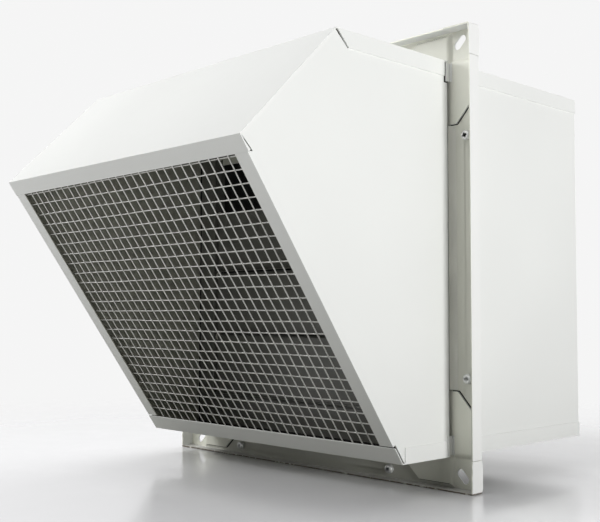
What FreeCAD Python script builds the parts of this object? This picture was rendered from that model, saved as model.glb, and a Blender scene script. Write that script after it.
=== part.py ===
"""Square wall exhaust fan with a weather hood, as a parametric FreeCAD document.

Millimetres, +Z up. The origin lies on the fan's axis in the wall plane, which is the rear face of the
mounting flange. X points right and Y points into the wall, seen from the hood. The hood stands in front
of the flange (Y below zero) and the square casing passes through the wall behind it (Y above zero).
"""
import FreeCAD, Part
import math
import os
import re

import Sketcher

Vector = FreeCAD.Vector

# Driving dimensions, in millimetres, degrees or counts
SIZES = {
    # square duct that the hood and the casing share
    "section": 400,
    "wall": 1.2,
    "overlap": 16,
    "casing_depth": 241,
    "casing_inset": 5,
    "rear_return": 15,
    # weather hood
    "hood_gap": 8.3,
    "hood_top": 173,
    "slope_drop": 112,
    "mouth_foot": 82,
    "lip_top": 17,
    "lip_side": 17,
    "lip_bottom": 19.7,
    "lip_gap": 1.6,
    "front_slit": 2.4,
    "nose_slit": 2.7,
    "mitre_gap": 1.6,
    "mitre_hold": 0.4,
    "mitre_slit": 1.3,
    "seam_setback": 4,
    "nose_tab": 17,
    "foot_height": 21,
    "foot_turn": 2.4,
    "foot_hold": 3.5,
    "foot_gap": 2.2,
    "foot_slit": 1.5,
    # mesh in the hood's mouth
    "mesh_pitch": 13.1,
    "mesh_wire": 1.2,
    "mesh_first": 2.6,
    "mesh_tuck": 8,
    "wire_clearance": 0.02,
    # mounting flange, made of four channels and four joggled corner pieces
    "flange_width": 32.5,
    "plate": 1.6,
    "lip_depth": 16.5,
    "flange_clearance": 0.5,
    "flange_inset": 4.6,
    "tab_inset": 3.5,
    "corner_lip": 17.5,
    "joggle": 4.5,
    "tab_long": 65,
    "tab_short": 43,
    "tab_flat": 6.5,
    "tab_margin": 4,
    "slot_span": 8,
    "slot_width": 8.6,
    "slot_out": 10.2,
    "slot_up": 18.8,
    "screw_spacing": 243.5,
    "screw_out": 18.6,
    "screw_level": 21.8,
    "screw_shift": 6,
    "screw_head": 10.4,
    "screw_rise": 3.2,
    "screw_shank": 5,
    "hole_clearance": 0.25,
    # gravity shutter
    "shutter_front": 17,
    "shutter_depth": 20,
    "shutter_clearance": 2.6,
    "stile": 28,
    "rail_top": 42.8,
    "rail_bottom": 34.8,
    "shutter_return": 16,
    "shutter_blades": 4,
    "hinge_setback": 8,
    "barrel": 7,
    "pivot_rod": 4,
    "pivot_clearance": 0.06,
    "blade_sheet": 1,
    "blade_lip": 8,
    "blade_gap": 1.2,
    "blade_lift": 76,
    "bush_body": 8,
    "bush_head": 10,
    "bush_flange": 1.2,
    "bush_length": 4,
    "end_gap": 0.5,
    # rear panel with its bell mouth
    "throat": 322,
    "bell": 14,
    "throat_length": 70,
    "panel_screw_inset": 8.6,
    "panel_screw_spacing": 240,
    # motor
    "motor_front": 52,
    "motor_length": 86,
    "motor_diameter": 116,
    "rotor_bore": 68,
    "air_gap": 0.5,
    "rotor_length": 56,
    "fin_count": 24,
    "fin_height": 7,
    "fin_thickness": 2.5,
    "cap_depth": 13,
    "cap_wall": 4,
    "bearing_outer": 35,
    "bearing_width": 10,
    "bearing_shell": 5,
    "shaft_diameter": 14,
    "running_fit": 0.03,
    # bars that carry the motor
    "pad_rise": 11,
    "bar_width": 50,
    "bar_thickness": 4,
    "bar_foot": 24,
    "pad_height": 44,
    "pad_width": 34,
    "motor_bolt": 6,
    "motor_bolt_spacing": 18,
    "bolt_head_flats": 10,
    "bolt_head_rise": 4,
    # impeller
    "tip_gap": 4,
    "impeller_blades": 6,
    "hub_diameter": 124,
    "hub_length": 50,
    "hub_wall": 3,
    "hub_web": 4,
    "hub_boss": 36,
    "hub_recess": 8,
    "hub_gap": 3,
    "blade_thickness": 2.5,
    "root_chord": 64,
    "tip_chord": 96,
    "root_pitch": 40,
    "tip_pitch": 24,
    "nut_flats": 22,
    "nut_height": 8,
    # inlet guard
    "guard_pitch": 24,
    "guard_stay": 70,
    "guard_wire": 3,
    "guard_post": 9,
    "guard_rise": 6,
    # terminal box
    "box_size": 52,
    "box_depth": 26,
    "box_wall": 2.5,
    "box_margin": 15.6,
    "box_lid": 3,
    "gland_flats": 22,
    "gland_length": 16,
    "gland_bore": 9,
    "gland_neck": 12,
    "box_screw": 6,
    "box_screw_rise": 2,
}

# Words in a size's formula that are functions or units of the sheet, not sizes
SHEET_WORDS = {"sqrt", "floor", "atan", "deg", "sin", "cos"}

doc = FreeCAD.newDocument("exhaust_fan")
sizes = doc.addObject("Spreadsheet::Sheet", "dims")
for row, (alias, number) in enumerate(SIZES.items(), start=1):
    sizes.set(f"A{row}", alias)
    sizes.set(f"B{row}", str(number))
    sizes.setAlias(f"B{row}", alias)
doc.recompute()


def bound(formula):
    """Turn a formula of size names into an expression on the sheet's cells."""
    def name(match):
        word = match.group(0)
        return word if word in SHEET_WORDS else f"dims.{word}"
    return re.sub(r"[a-z_]+", name, formula)


def value(formula):
    """Work out a formula of size names as a plain number."""
    result = sizes.evalExpression(bound(formula))
    return float(getattr(result, "Value", result))


def minus(formula):
    """Give the formula of the opposite number."""
    return f"(-({formula}))"


# Places that many pieces share
HALF = "(section/2)"
INNER = "(section/2-wall)"
INSIDE = "(section/2-2*wall)"
OUTER = "(section/2+flange_width)"
HOOD_REAR = "(-hood_gap)"
FOOT_FRONT = "(-(hood_gap+foot_hold))"
FLANGE_REAR = "(-(hood_gap+foot_hold+foot_gap))"
NOSE_Y = "(-(hood_top+slope_drop))"
NOSE_Z = "(section/2-slope_drop)"
RUN = "(hood_top+slope_drop-mouth_foot)"
RISE = "(section-slope_drop)"
MOUTH = f"sqrt({RUN}^2+{RISE}^2)"
CHANNEL_FRONT = "(-(wall+plate))"
TAB_FRONT = "(-(wall+2*plate))"
SHUTTER_HALF = "(section/2-2*wall-shutter_clearance)"
OPENING_X = f"({SHUTTER_HALF}-stile)"
OPENING_TOP = f"({SHUTTER_HALF}-rail_top)"
OPENING_BOTTOM = f"(-({SHUTTER_HALF}-rail_bottom))"
HINGE_Y = "(-(shutter_front-hinge_setback))"
BLADE_PITCH = f"(({OPENING_TOP}-{OPENING_BOTTOM}-bush_head/2+barrel/2-blade_gap)/shutter_blades)"
BLADE_HALF = f"({OPENING_X}-bush_flange-end_gap)"
MOTOR_REAR = "(motor_front+motor_length)"
MOTOR_MIDDLE = "(motor_front+motor_length/2)"
HUB_FRONT = f"({MOTOR_REAR}+cap_depth+hub_gap)"
HUB_REAR = f"({MOTOR_REAR}+cap_depth+hub_gap+hub_length)"
BAR_INNER = "(motor_diameter/2+pad_rise)"
BAR_OUTER = "(motor_diameter/2+pad_rise+bar_thickness)"
SCREW_OUT = "(section/2+screw_out)"
SCREW_LEVEL = "(section/2+screw_level)"
CASING_EDGE = "(section/2+flange_width-casing_inset)"
PANEL_SCREW = "(section/2-2*wall-panel_screw_inset)"
BOX_PLACE = "(section/2-2*wall-box_margin-box_size/2)"
GUARD_OUT = "(throat/2+bell+wall+guard_post/2)"
GUARD_Y = "(casing_depth+guard_rise+guard_wire/2)"

NODES = []


def keep(piece, label):
    """Name a finished sub-part and list it for the export."""
    piece.Label = label
    NODES.append(piece)
    return piece


def origin_part(body, role):
    """Find a plane or an axis of a body's own origin by its role."""
    return next(part for part in body.Origin.OriginFeatures if part.Role == role)


def new_body(label):
    """Start a sub-part as a PartDesign body."""
    return keep(doc.addObject("PartDesign::Body", label), label)


def draw_loop(sketch, corners):
    """Draw one closed loop in a sketch and bind each corner to the sheet.

    A corner is (x, y). A corner (x, y, centre_x, centre_y, turn) starts an arc to the next corner, and
    turn is 1 for an anticlockwise arc and -1 for a clockwise one.
    """
    spots = [Vector(value(corner[0]), value(corner[1]), 0) for corner in corners]
    edges = []
    for index, corner in enumerate(corners):
        start = spots[index]
        end = spots[(index + 1) % len(spots)]
        if len(corner) == 2:
            number = sketch.addGeometry(Part.LineSegment(start, end))
            edges.append((number, 1, 2))
            continue
        centre = Vector(value(corner[2]), value(corner[3]), 0)
        turn = corner[4]
        first, last = (start, end) if turn > 0 else (end, start)
        circle = Part.Circle(centre, Vector(0, 0, 1), first.distanceToPoint(centre))
        low = math.atan2(first.y - centre.y, first.x - centre.x)
        high = math.atan2(last.y - centre.y, last.x - centre.x)
        if high < low:
            high += 2 * math.pi
        number = sketch.addGeometry(Part.ArcOfCircle(circle, low, high))
        edges.append((number, 1, 2) if turn > 0 else (number, 2, 1))
    for index, (number, _, tail) in enumerate(edges):
        following, head, _ = edges[(index + 1) % len(edges)]
        sketch.addConstraint(Sketcher.Constraint("Coincident", number, tail, following, head))
    for (number, head, _), corner, spot in zip(edges, corners, spots):
        bind(sketch, "DistanceX", (-1, 1, number, head), spot.x, corner[0])
        bind(sketch, "DistanceY", (-1, 1, number, head), spot.y, corner[1])
        if len(corner) > 2:
            bind(sketch, "DistanceX", (-1, 1, number, 3), value(corner[2]), corner[2])


def draw_circle(sketch, x, y, radius):
    """Draw a circle in a sketch and bind its centre and radius to the sheet."""
    spot = Vector(value(x), value(y), 0)
    number = sketch.addGeometry(Part.Circle(spot, Vector(0, 0, 1), value(radius)))
    bind(sketch, "DistanceX", (-1, 1, number, 3), spot.x, x)
    bind(sketch, "DistanceY", (-1, 1, number, 3), spot.y, y)
    bind(sketch, "Radius", (number,), value(radius), radius)


def bind(sketch, kind, ends, number, formula):
    """Add one dimension to a sketch and bind it to the sheet."""
    index = sketch.addConstraint(Sketcher.Constraint(kind, *ends, number))
    sketch.setExpression(f"Constraints[{index}]", bound(formula))


def new_sketch(body, role, name, loops, circles=()):
    """Draw loops and circles on one of a body's origin planes."""
    sketch = body.newObject("Sketcher::SketchObject", f"{body.Name}_{name}")
    sketch.AttachmentSupport = [(origin_part(body, role), "")]
    sketch.MapMode = "FlatFace"
    for corners in loops:
        draw_loop(sketch, corners)
    for x, y, radius in circles:
        draw_circle(sketch, x, y, radius)
    return sketch


def pad(body, name, role, loops, low, length, circles=()):
    """Pad an outline along the axis square to its plane, from low over a length.

    On XZ_Plane an outline is drawn in x and z and padded along Y, on YZ_Plane in y and z along X, and
    on XY_Plane in x and y along Z.
    """
    sketch = new_sketch(body, role, name, loops, circles)
    start = minus(f"{low}+{length}") if role == "XZ_Plane" else low
    sketch.setExpression("AttachmentOffset.Base.z", bound(start))
    feature = body.newObject("PartDesign::Pad", f"{body.Name}_{name}_pad")
    feature.Profile = sketch
    feature.setExpression("Length", bound(length))
    return feature


def revolve(body, name, loops):
    """Turn an outline, drawn in y and radius, about the fan's axis."""
    sketch = new_sketch(body, "YZ_Plane", name, loops)
    feature = body.newObject("PartDesign::Revolution", f"{body.Name}_{name}_turn")
    feature.Profile = sketch
    feature.ReferenceAxis = (sketch, ["H_Axis"])
    feature.Angle = 360
    return feature


def line_up(body, feature, axis, length, count):
    """Repeat a feature along one of a body's axes, count copies over a length."""
    pattern = body.newObject("PartDesign::LinearPattern", f"{body.Name}_row")
    pattern.Originals = [feature]
    pattern.Direction = (origin_part(body, axis), [""])
    pattern.setExpression("Length", bound(length))
    pattern.setExpression("Occurrences", bound(count))
    body.Tip = pattern
    return pattern


def ring_round(body, feature, count):
    """Repeat a feature round the fan's axis."""
    pattern = body.newObject("PartDesign::PolarPattern", f"{body.Name}_ring")
    pattern.Originals = [feature]
    pattern.Axis = (origin_part(body, "Y_Axis"), [""])
    pattern.Angle = 360
    pattern.setExpression("Occurrences", bound(count))
    body.Tip = pattern
    return pattern


def mirror(label, source, normal, base_y=None):
    """Make a sub-part as the mirror image of another."""
    image = doc.addObject("Part::Mirroring", label)
    image.Source = source
    image.Normal = normal
    if base_y is not None:
        image.setExpression("Base.y", bound(base_y))
    return keep(image, label)


def group(label, shapes):
    """Keep several like pieces, made from the sheet's values, as one sub-part."""
    piece = doc.addObject("Part::Feature", label)
    piece.Shape = Part.makeCompound(shapes)
    return keep(piece, label)


def rectangle(left, right, low, high):
    """List the corners of an upright rectangle."""
    return [(left, low), (right, low), (right, high), (left, high)]


def hexagon(x, z, flats):
    """List the corners of a hexagon that has two level corners."""
    side = f"({flats}/sqrt(3))"
    corners = []
    for step in range(6):
        across = ("1", "0.5", "-0.5", "-1", "-0.5", "0.5")[step]
        up = ("0", "0.5", "0.5", "0", "-0.5", "-0.5")[step]
        corners.append((f"({x}+{across}*{side})", f"({z}+{up}*{flats})"))
    return corners


def sheet_strip(start, along, length, inward):
    """List the corners of a strip of sheet seen on edge, from start along a unit direction."""
    end = (f"({start[0]}+{length}*{along[0]})", f"({start[1]}+{length}*{along[1]})")
    back = tuple(f"({end[axis]}+wall*{inward[axis]})" for axis in (0, 1))
    front = tuple(f"({start[axis]}+wall*{inward[axis]})" for axis in (0, 1))
    return [start, end, back, front]


# The mouth's direction, from the nose down to the foot, and its direction into the hood
DOWN = (f"({RUN}/{MOUTH})", f"(-{RISE}/{MOUTH})")
UP = (f"(-{RUN}/{MOUTH})", f"({RISE}/{MOUTH})")
INTO = (f"({RISE}/{MOUTH})", f"({RUN}/{MOUTH})")
NOSE = (NOSE_Y, NOSE_Z)
FOOT = ("(-mouth_foot)", minus(HALF))


def add_hood_foot(body, name, low, high):
    """Add a foot that holds the side panel, turns out behind it and seats on a corner piece."""
    stem = f"({TAB_FRONT}-({FOOT_FRONT}))"
    turn_low = f"({TAB_FRONT}-wall)"
    pad(body, f"{name}_stem", "XZ_Plane", [rectangle(INNER, HALF, low, high)], FOOT_FRONT, stem)
    out = f"({HALF}+foot_turn)"
    pad(body, f"{name}_turn", "XZ_Plane", [rectangle(INNER, out, low, high)], turn_low, "wall")


def build_hood_top():
    """Bend the top panel: roof, 45 degree slope, lip with its ends turned back, side flanges."""
    body = new_body("hood_top")
    bend = "(-hood_top)"
    inner_bend = f"({bend}+(sqrt(2)-1)*wall)"
    roof = [
        (HOOD_REAR, HALF),
        (bend, HALF),
        NOSE,
        (f"({NOSE_Y}+wall/sqrt(2))", f"({NOSE_Z}-wall/sqrt(2))"),
        (inner_bend, INNER),
        (HOOD_REAR, INNER),
    ]
    pad(body, "roof", "YZ_Plane", [roof], minus(HALF), "section")
    pad(body, "lip", "YZ_Plane", [sheet_strip(NOSE, DOWN, "lip_top", INTO)], minus(HALF), "section")
    fold = f"({HALF}-overlap)"
    flange = [
        (FLANGE_REAR, fold),
        (FLANGE_REAR, HALF),
        (f"({bend}+mitre_gap)", HALF),
        (f"({bend}+mitre_gap+overlap)", fold),
    ]
    pad(body, "flange_right", "YZ_Plane", [flange], INNER, "wall")
    pad(body, "flange_left", "YZ_Plane", [flange], minus(HALF), "wall")
    lip_end = tuple(f"({NOSE[axis]}+lip_top*{DOWN[axis]})" for axis in (0, 1))
    tab_end = (f"({NOSE_Y}+nose_tab/sqrt(2))", f"({NOSE_Z}-nose_tab/sqrt(2))")
    tab = [NOSE, lip_end, tab_end]
    pad(body, "nose_tab_right", "YZ_Plane", [tab], INNER, "wall")
    pad(body, "nose_tab_left", "YZ_Plane", [tab], minus(HALF), "wall")


def build_hood_bottom():
    """Bend the bottom panel: level floor, lip with free ends, side flanges."""
    body = new_body("hood_bottom")
    low = minus(HALF)
    floor = [
        (HOOD_REAR, low),
        FOOT,
        (f"(-mouth_foot+wall*({MOUTH}-{RUN})/{RISE})", minus(INNER)),
        (HOOD_REAR, minus(INNER)),
    ]
    pad(body, "floor", "YZ_Plane", [floor], low, "section")
    pad(body, "lip", "YZ_Plane", [sheet_strip(FOOT, UP, "lip_bottom", INTO)], low, "section")
    fold = f"(-{HALF}+overlap)"
    flange = rectangle("(-mouth_foot+seam_setback)", FLANGE_REAR, low, fold)
    pad(body, "flange_right", "YZ_Plane", [flange], INNER, "wall")
    pad(body, "flange_left", "YZ_Plane", [flange], low, "wall")


def build_hood_sides():
    """Cut the side panels, with a lip turned into the mouth and two feet behind.

    The front edge stands back behind the top lip's tab and behind the bottom lip, which leaves open slits.
    More slits open along the slanted end of the top panel's side flange and in front of the upper foot.
    """
    body = new_body("hood_side_right")
    start = tuple(f"({NOSE[axis]}+lip_top*{DOWN[axis]})" for axis in (0, 1))
    length = f"({MOUTH}-lip_top-lip_bottom-lip_gap)"
    lip = sheet_strip(start, DOWN, length, INTO)
    slit_top = (f"({NOSE_Y}+(nose_slit+wall*sqrt(2))/2)", f"({NOSE_Z}+(nose_slit-wall*sqrt(2))/2)")
    slit_run = "(nose_tab/sqrt(2)+0.5)"
    slit_end = (f"({NOSE_Y}+nose_slit+{slit_run})", f"({NOSE_Z}-{slit_run})")
    step = tuple(f"({lip[2][axis]}+front_slit*{INTO[axis]})" for axis in (0, 1))
    foot = f"(-mouth_foot+((wall+front_slit)*{MOUTH}-wall*{RUN})/{RISE})"
    mitre = "(-hood_top+mitre_gap+mitre_hold)"
    behind = f"({FOOT_FRONT}-(foot_gap-foot_slit)/2)"
    ahead = f"({FOOT_FRONT}-(foot_gap+foot_slit)/2)"
    panel = [
        (HOOD_REAR, minus(INNER)),
        (HOOD_REAR, INNER),
        (behind, INNER),
        (behind, f"({HALF}-foot_height)"),
        (ahead, f"({HALF}-foot_height)"),
        (ahead, INNER),
        (f"({mitre}+wall)", INNER),
        (f"({mitre}+overlap)", f"({HALF}-overlap)"),
        (f"({mitre}+overlap-mitre_slit)", f"({HALF}-overlap)"),
        ("(-hood_top+(sqrt(2)-1)*wall)", INNER),
        slit_top,
        slit_end,
        lip[3],
        lip[2],
        step,
        (foot, minus(INNER)),
    ]
    pad(body, "panel", "YZ_Plane", [panel], INSIDE, "wall")
    pad(body, "lip", "YZ_Plane", [lip], f"({INNER}-lip_side)", "lip_side")
    foot_end = f"({INNER}-flange_clearance)"
    foot_start = f"({HALF}-foot_height)"
    add_hood_foot(body, "foot_top", foot_start, foot_end)
    add_hood_foot(body, "foot_bottom", minus(foot_end), minus(foot_start))
    mirror("hood_side_left", body, Vector(1, 0, 0))


def place_in_mouth(body):
    """Lay a body's XY plane in the hood's mouth, with its Y axis up the slope from the foot."""
    body.Placement = FreeCAD.Placement(Vector(0, 0, 0), FreeCAD.Rotation(Vector(1, 0, 0), 120))
    body.setExpression("Placement.Rotation.Angle", bound(f"90 deg + atan({RUN}/{RISE})"))
    body.setExpression("Placement.Base.y", bound(FOOT[0]))
    body.setExpression("Placement.Base.z", bound(FOOT[1]))


def build_mesh():
    """Lay two layers of straight wires behind the mouth's lips."""
    radius = "(mesh_wire/2)"
    down = new_body("mesh_wires_down")
    place_in_mouth(down)
    width = f"(2*({INNER}-lip_side))"
    count = f"floor({width}/mesh_pitch)"
    first = f"(-({count}-1)*mesh_pitch/2)"
    depth = f"(-(wall+wire_clearance+{radius}))"
    low = "(lip_bottom-mesh_tuck)"
    length = f"({MOUTH}-lip_top-lip_bottom+2*mesh_tuck)"
    wire = pad(down, "wire", "XZ_Plane", [], low, length, [(first, depth, radius)])
    line_up(down, wire, "X_Axis", f"(({count}-1)*mesh_pitch)", count)

    across = new_body("mesh_wires_across")
    place_in_mouth(across)
    height = f"({MOUTH}-lip_top-lip_bottom)"
    count = f"(floor(({height}-mesh_first)/mesh_pitch)+1)"
    lowest = f"({MOUTH}-lip_top-mesh_first-({count}-1)*mesh_pitch)"
    depth = f"(-(wall+2*wire_clearance+3*{radius}))"
    half = f"({width}/2+mesh_tuck)"
    wire = pad(across, "wire", "YZ_Plane", [], minus(half), f"(2*{half})", [(lowest, depth, radius)])
    line_up(across, wire, "Y_Axis", f"(({count}-1)*mesh_pitch)", count)


def screw_holes(axis):
    """Place the two screw holes of one side, along X or along Z."""
    radius = "(screw_shank/2+hole_clearance)"
    spots = ("(-screw_spacing/2)", "(screw_spacing/2)")
    if axis == "x":
        return [(f"({spot}-screw_shift)", SCREW_LEVEL, radius) for spot in spots]
    return [(SCREW_OUT, spot, radius) for spot in spots]


def build_flange():
    """Make the four channels: a plate against the casing's flange and a lip turned forward."""
    inner = f"({HALF}+flange_clearance)"
    rim = f"({HALF}-flange_inset)"
    lip = f"({OUTER}-plate)"
    forward = "(lip_depth-wall)"
    top = new_body("flange_top")
    pad(top, "plate", "XZ_Plane", [rectangle(minus(HALF), HALF, rim, OUTER)], CHANNEL_FRONT, "plate",
        screw_holes("x"))
    pad(top, "lip", "XZ_Plane", [rectangle(minus(HALF), HALF, lip, OUTER)], "(-lip_depth)", forward)
    mirror("flange_bottom", top, Vector(0, 0, 1))
    right = new_body("flange_right")
    end = f"({rim}-flange_clearance)"
    plate = [(OUTER, minus(HALF)), (OUTER, HALF), (inner, HALF), (inner, end), (rim, end), (rim, minus(end)),
             (inner, minus(end)), (inner, minus(HALF))]
    pad(right, "plate", "XZ_Plane", [plate], CHANNEL_FRONT, "plate", screw_holes("z"))
    pad(right, "lip", "XZ_Plane", [rectangle(lip, OUTER, minus(HALF), HALF)], "(-lip_depth)", forward)
    mirror("flange_left", right, Vector(1, 0, 0))


def build_corners():
    """Stamp the corner pieces: a slotted pad in the wall plane, lips and two tabs over the channels."""
    body = new_body("corner_top_right")
    inner = f"({HALF}+flange_clearance)"
    lip = f"({OUTER}-plate)"
    reach = "(slot_span/(2*sqrt(2)))"
    side = "(slot_width/(2*sqrt(2)))"
    near_x = f"({HALF}+slot_out-{reach})"
    far_x = f"({HALF}+slot_out+{reach})"
    near_z = f"({HALF}+slot_up-{reach})"
    far_z = f"({HALF}+slot_up+{reach})"
    slot = [
        (f"({near_x}+{side})", f"({near_z}-{side})"),
        (f"({far_x}+{side})", f"({far_z}-{side})", far_x, far_z, 1),
        (f"({far_x}-{side})", f"({far_z}+{side})"),
        (f"({near_x}-{side})", f"({near_z}+{side})", near_x, near_z, 1),
    ]
    square = rectangle(inner, OUTER, inner, OUTER)
    pad(body, "pad", "XZ_Plane", [square, slot], "(-plate)", "plate")
    pad(body, "lip_top", "XZ_Plane", [rectangle(inner, OUTER, lip, OUTER)], "(-corner_lip)", "corner_lip")
    pad(body, "lip_side", "XZ_Plane", [rectangle(lip, OUTER, inner, OUTER)], "(-corner_lip)", "corner_lip")
    tab_out = f"({lip}-tab_margin)"
    riser = f"({inner}+joggle)"
    step = [(inner, inner), (tab_out, inner), (tab_out, riser), (riser, riser), (riser, tab_out),
            (inner, tab_out)]
    pad(body, "riser", "XZ_Plane", [step], CHANNEL_FRONT, "wall")
    rim = f"({HALF}-tab_inset)"
    tabs = [
        (rim, f"({HALF}-tab_long)"),
        (f"({inner}+tab_flat)", f"({HALF}-tab_long)"),
        (tab_out, f"({HALF}-tab_short)"),
        (tab_out, riser),
        (riser, riser),
        (riser, tab_out),
        (f"({HALF}-tab_short)", tab_out),
        (f"({HALF}-tab_long)", f"({inner}+tab_flat)"),
        (f"({HALF}-tab_long)", rim),
        (rim, rim),
    ]
    pad(body, "tabs", "XZ_Plane", [tabs], TAB_FRONT, "plate")
    left = mirror("corner_top_left", body, Vector(1, 0, 0))
    mirror("corner_bottom_right", body, Vector(0, 0, 1))
    mirror("corner_bottom_left", left, Vector(0, 0, 1))


def build_casing():
    """Fold the casing's panels, each with a flange turned out in front and one turned in behind."""
    top = new_body("casing_top")
    depth = "casing_depth"
    fold = f"({HALF}-overlap)"
    channel = [
        (minus(HALF), fold),
        (minus(HALF), HALF),
        (HALF, HALF),
        (HALF, fold),
        (INNER, fold),
        (INNER, INNER),
        (minus(INNER), INNER),
        (minus(INNER), fold),
    ]
    pad(top, "wrap", "XZ_Plane", [channel], "0", depth)
    turned = rectangle(minus(HALF), HALF, INNER, CASING_EDGE)
    pad(top, "front", "XZ_Plane", [turned], "(-wall)", "wall", screw_holes("x"))
    rear_low = "(casing_depth-2*wall)"
    inside_edge = f"({INNER}-rear_return)"
    rear_half = f"({INSIDE}-wall)"
    holes = panel_holes("x")
    pad(top, "rear", "XZ_Plane", [rectangle(minus(rear_half), rear_half, inside_edge, INNER)], rear_low,
        "wall", holes)
    mirror("casing_bottom", top, Vector(0, 0, 1))
    right = new_body("casing_right")
    pad(right, "wrap", "XZ_Plane", [rectangle(INSIDE, INNER, minus(INNER), INNER)], "(-wall)",
        "(casing_depth+wall)")
    turned = [
        (INNER, minus(fold)),
        (HALF, minus(fold)),
        (HALF, minus(INNER)),
        (CASING_EDGE, minus(INNER)),
        (CASING_EDGE, INNER),
        (HALF, INNER),
        (HALF, fold),
        (INNER, fold),
    ]
    pad(right, "front", "XZ_Plane", [turned], "(-wall)", "wall", screw_holes("z"))
    edge = f"({INNER}-rear_return-wall)"
    pad(right, "rear", "XZ_Plane", [rectangle(f"({INSIDE}-rear_return)", INSIDE, minus(edge), edge)],
        rear_low, "wall", panel_holes("z"))
    mirror("casing_left", right, Vector(1, 0, 0))


def panel_holes(axis):
    """Place the rear panel's screw holes on one edge, along X or along Z."""
    radius = "(screw_shank/2+hole_clearance)"
    spots = ("(-panel_screw_spacing/2)", "(panel_screw_spacing/2)")
    if axis == "x":
        return [(spot, PANEL_SCREW, radius) for spot in spots]
    return [(PANEL_SCREW, spot, radius) for spot in spots]


def build_rear_panel():
    """Press the rear panel with its bell mouth and throat."""
    body = new_body("rear_panel")
    half = f"({INSIDE}-shutter_clearance)"
    holes = []
    for axis in ("x", "z"):
        for x, z, radius in panel_holes(axis):
            holes.append((x, z, radius))
            holes.append((minus(x), z, radius) if axis == "z" else (x, minus(z), radius))
    rim = "(throat/2+bell)"
    pad(body, "plate", "XZ_Plane", [rectangle(minus(half), half, minus(half), half)],
        "(casing_depth-wall)", "wall", holes + [("0", "0", rim)])
    back = "casing_depth"
    bend = "(casing_depth-bell)"
    front = "(casing_depth-throat_length)"
    skin = "(throat/2+wall)"
    profile = [
        (back, rim, bend, rim, -1),
        (bend, "(throat/2)"),
        (front, "(throat/2)"),
        (front, skin),
        (bend, skin, bend, rim, 1),
        ("(casing_depth-wall)", rim),
    ]
    revolve(body, "bell", [profile])


def cross_head_screw(place, direction, reach):
    """Make a pan head screw with a cross recess, its head seated at place and pointing out."""
    head = Part.makeCylinder(value("screw_head/2"), value("screw_rise"), place, direction)
    edge = value("screw_rise") * 0.35
    rim = [line for line in head.Edges if line.Closed and line.CenterOfMass.sub(place).dot(direction) > edge]
    head = head.makeFillet(edge, rim)
    shank = Part.makeCylinder(value("screw_shank/2"), reach, place, direction.negative())
    screw = head.fuse(shank)
    deep = value("screw_rise") * 0.55
    arm = value("screw_head") * 0.55
    slot = value("screw_head") * 0.12
    turn = FreeCAD.Rotation(Vector(0, 0, 1), direction)
    for length, width in ((arm, slot), (slot, arm)):
        cut = Part.makeBox(length, width, deep + 1, Vector(-length / 2, -width / 2, 0))
        base = place + direction * (value("screw_rise") - deep)
        cut.Placement = FreeCAD.Placement(base, turn).multiply(cut.Placement)
        screw = screw.cut(cut)
    return screw.removeSplitter()


def build_screws():
    """Place the flange's screws on the channels and the rear panel's screws behind."""
    along = value("screw_spacing/2")
    out = value(SCREW_OUT)
    level = value(SCREW_LEVEL)
    aside = value("screw_shift")
    seat = value(CHANNEL_FRONT)
    reach = value("wall+plate-hole_clearance")
    spots = []
    for sign in (1, -1):
        for shift in (along, -along):
            spots.append(Vector(shift - aside, seat, sign * level))
            spots.append(Vector(sign * out, seat, shift))
    group("flange_screws", [cross_head_screw(spot, Vector(0, -1, 0), reach) for spot in spots])
    along = value("panel_screw_spacing/2")
    out = value(PANEL_SCREW)
    seat = value("casing_depth")
    spots = []
    for sign in (1, -1):
        for shift in (along, -along):
            spots.append(Vector(shift, seat, sign * out))
            spots.append(Vector(sign * out, seat, shift))
    reach = value("4*wall")
    group("rear_panel_screws", [cross_head_screw(spot, Vector(0, 1, 0), reach) for spot in spots])


def hinge_height(number):
    """Give the height of one blade's hinge axis, counted from the top."""
    return f"({OPENING_TOP}-blade_gap-bush_head/2-{number}*{BLADE_PITCH})"


def build_shutter_frame():
    """Fold the shutter's frame: a face with an opening, an outer return and an inner return."""
    body = new_body("shutter_frame")
    front = "(-shutter_front)"
    outer = rectangle(minus(SHUTTER_HALF), SHUTTER_HALF, minus(SHUTTER_HALF), SHUTTER_HALF)
    opening = rectangle(minus(OPENING_X), OPENING_X, OPENING_BOTTOM, OPENING_TOP)
    skin_x = f"({SHUTTER_HALF}-wall)"
    outer_skin = rectangle(minus(skin_x), skin_x, minus(skin_x), skin_x)
    wide = f"({OPENING_X}+wall)"
    inner_skin = rectangle(minus(wide), wide, f"({OPENING_BOTTOM}-wall)", f"({OPENING_TOP}+wall)")
    pad(body, "face", "XZ_Plane", [outer, opening], front, "wall")
    pad(body, "outer_return", "XZ_Plane", [outer, outer_skin], front, "shutter_depth")
    pad(body, "inner_return", "XZ_Plane", [inner_skin, opening], front, "shutter_return")
    bore = "(bush_body/2+pivot_clearance)"
    holes = [(HINGE_Y, hinge_height(number), bore) for number in range(int(value("shutter_blades")))]
    sketch = new_sketch(body, "YZ_Plane", "bush_holes", [], holes)
    cut = body.newObject("PartDesign::Pocket", "shutter_frame_bush_holes_cut")
    cut.Profile = sketch
    cut.Midplane = True
    cut.setExpression("Length", bound(f"(2*({OPENING_X}+2*wall))"))


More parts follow.
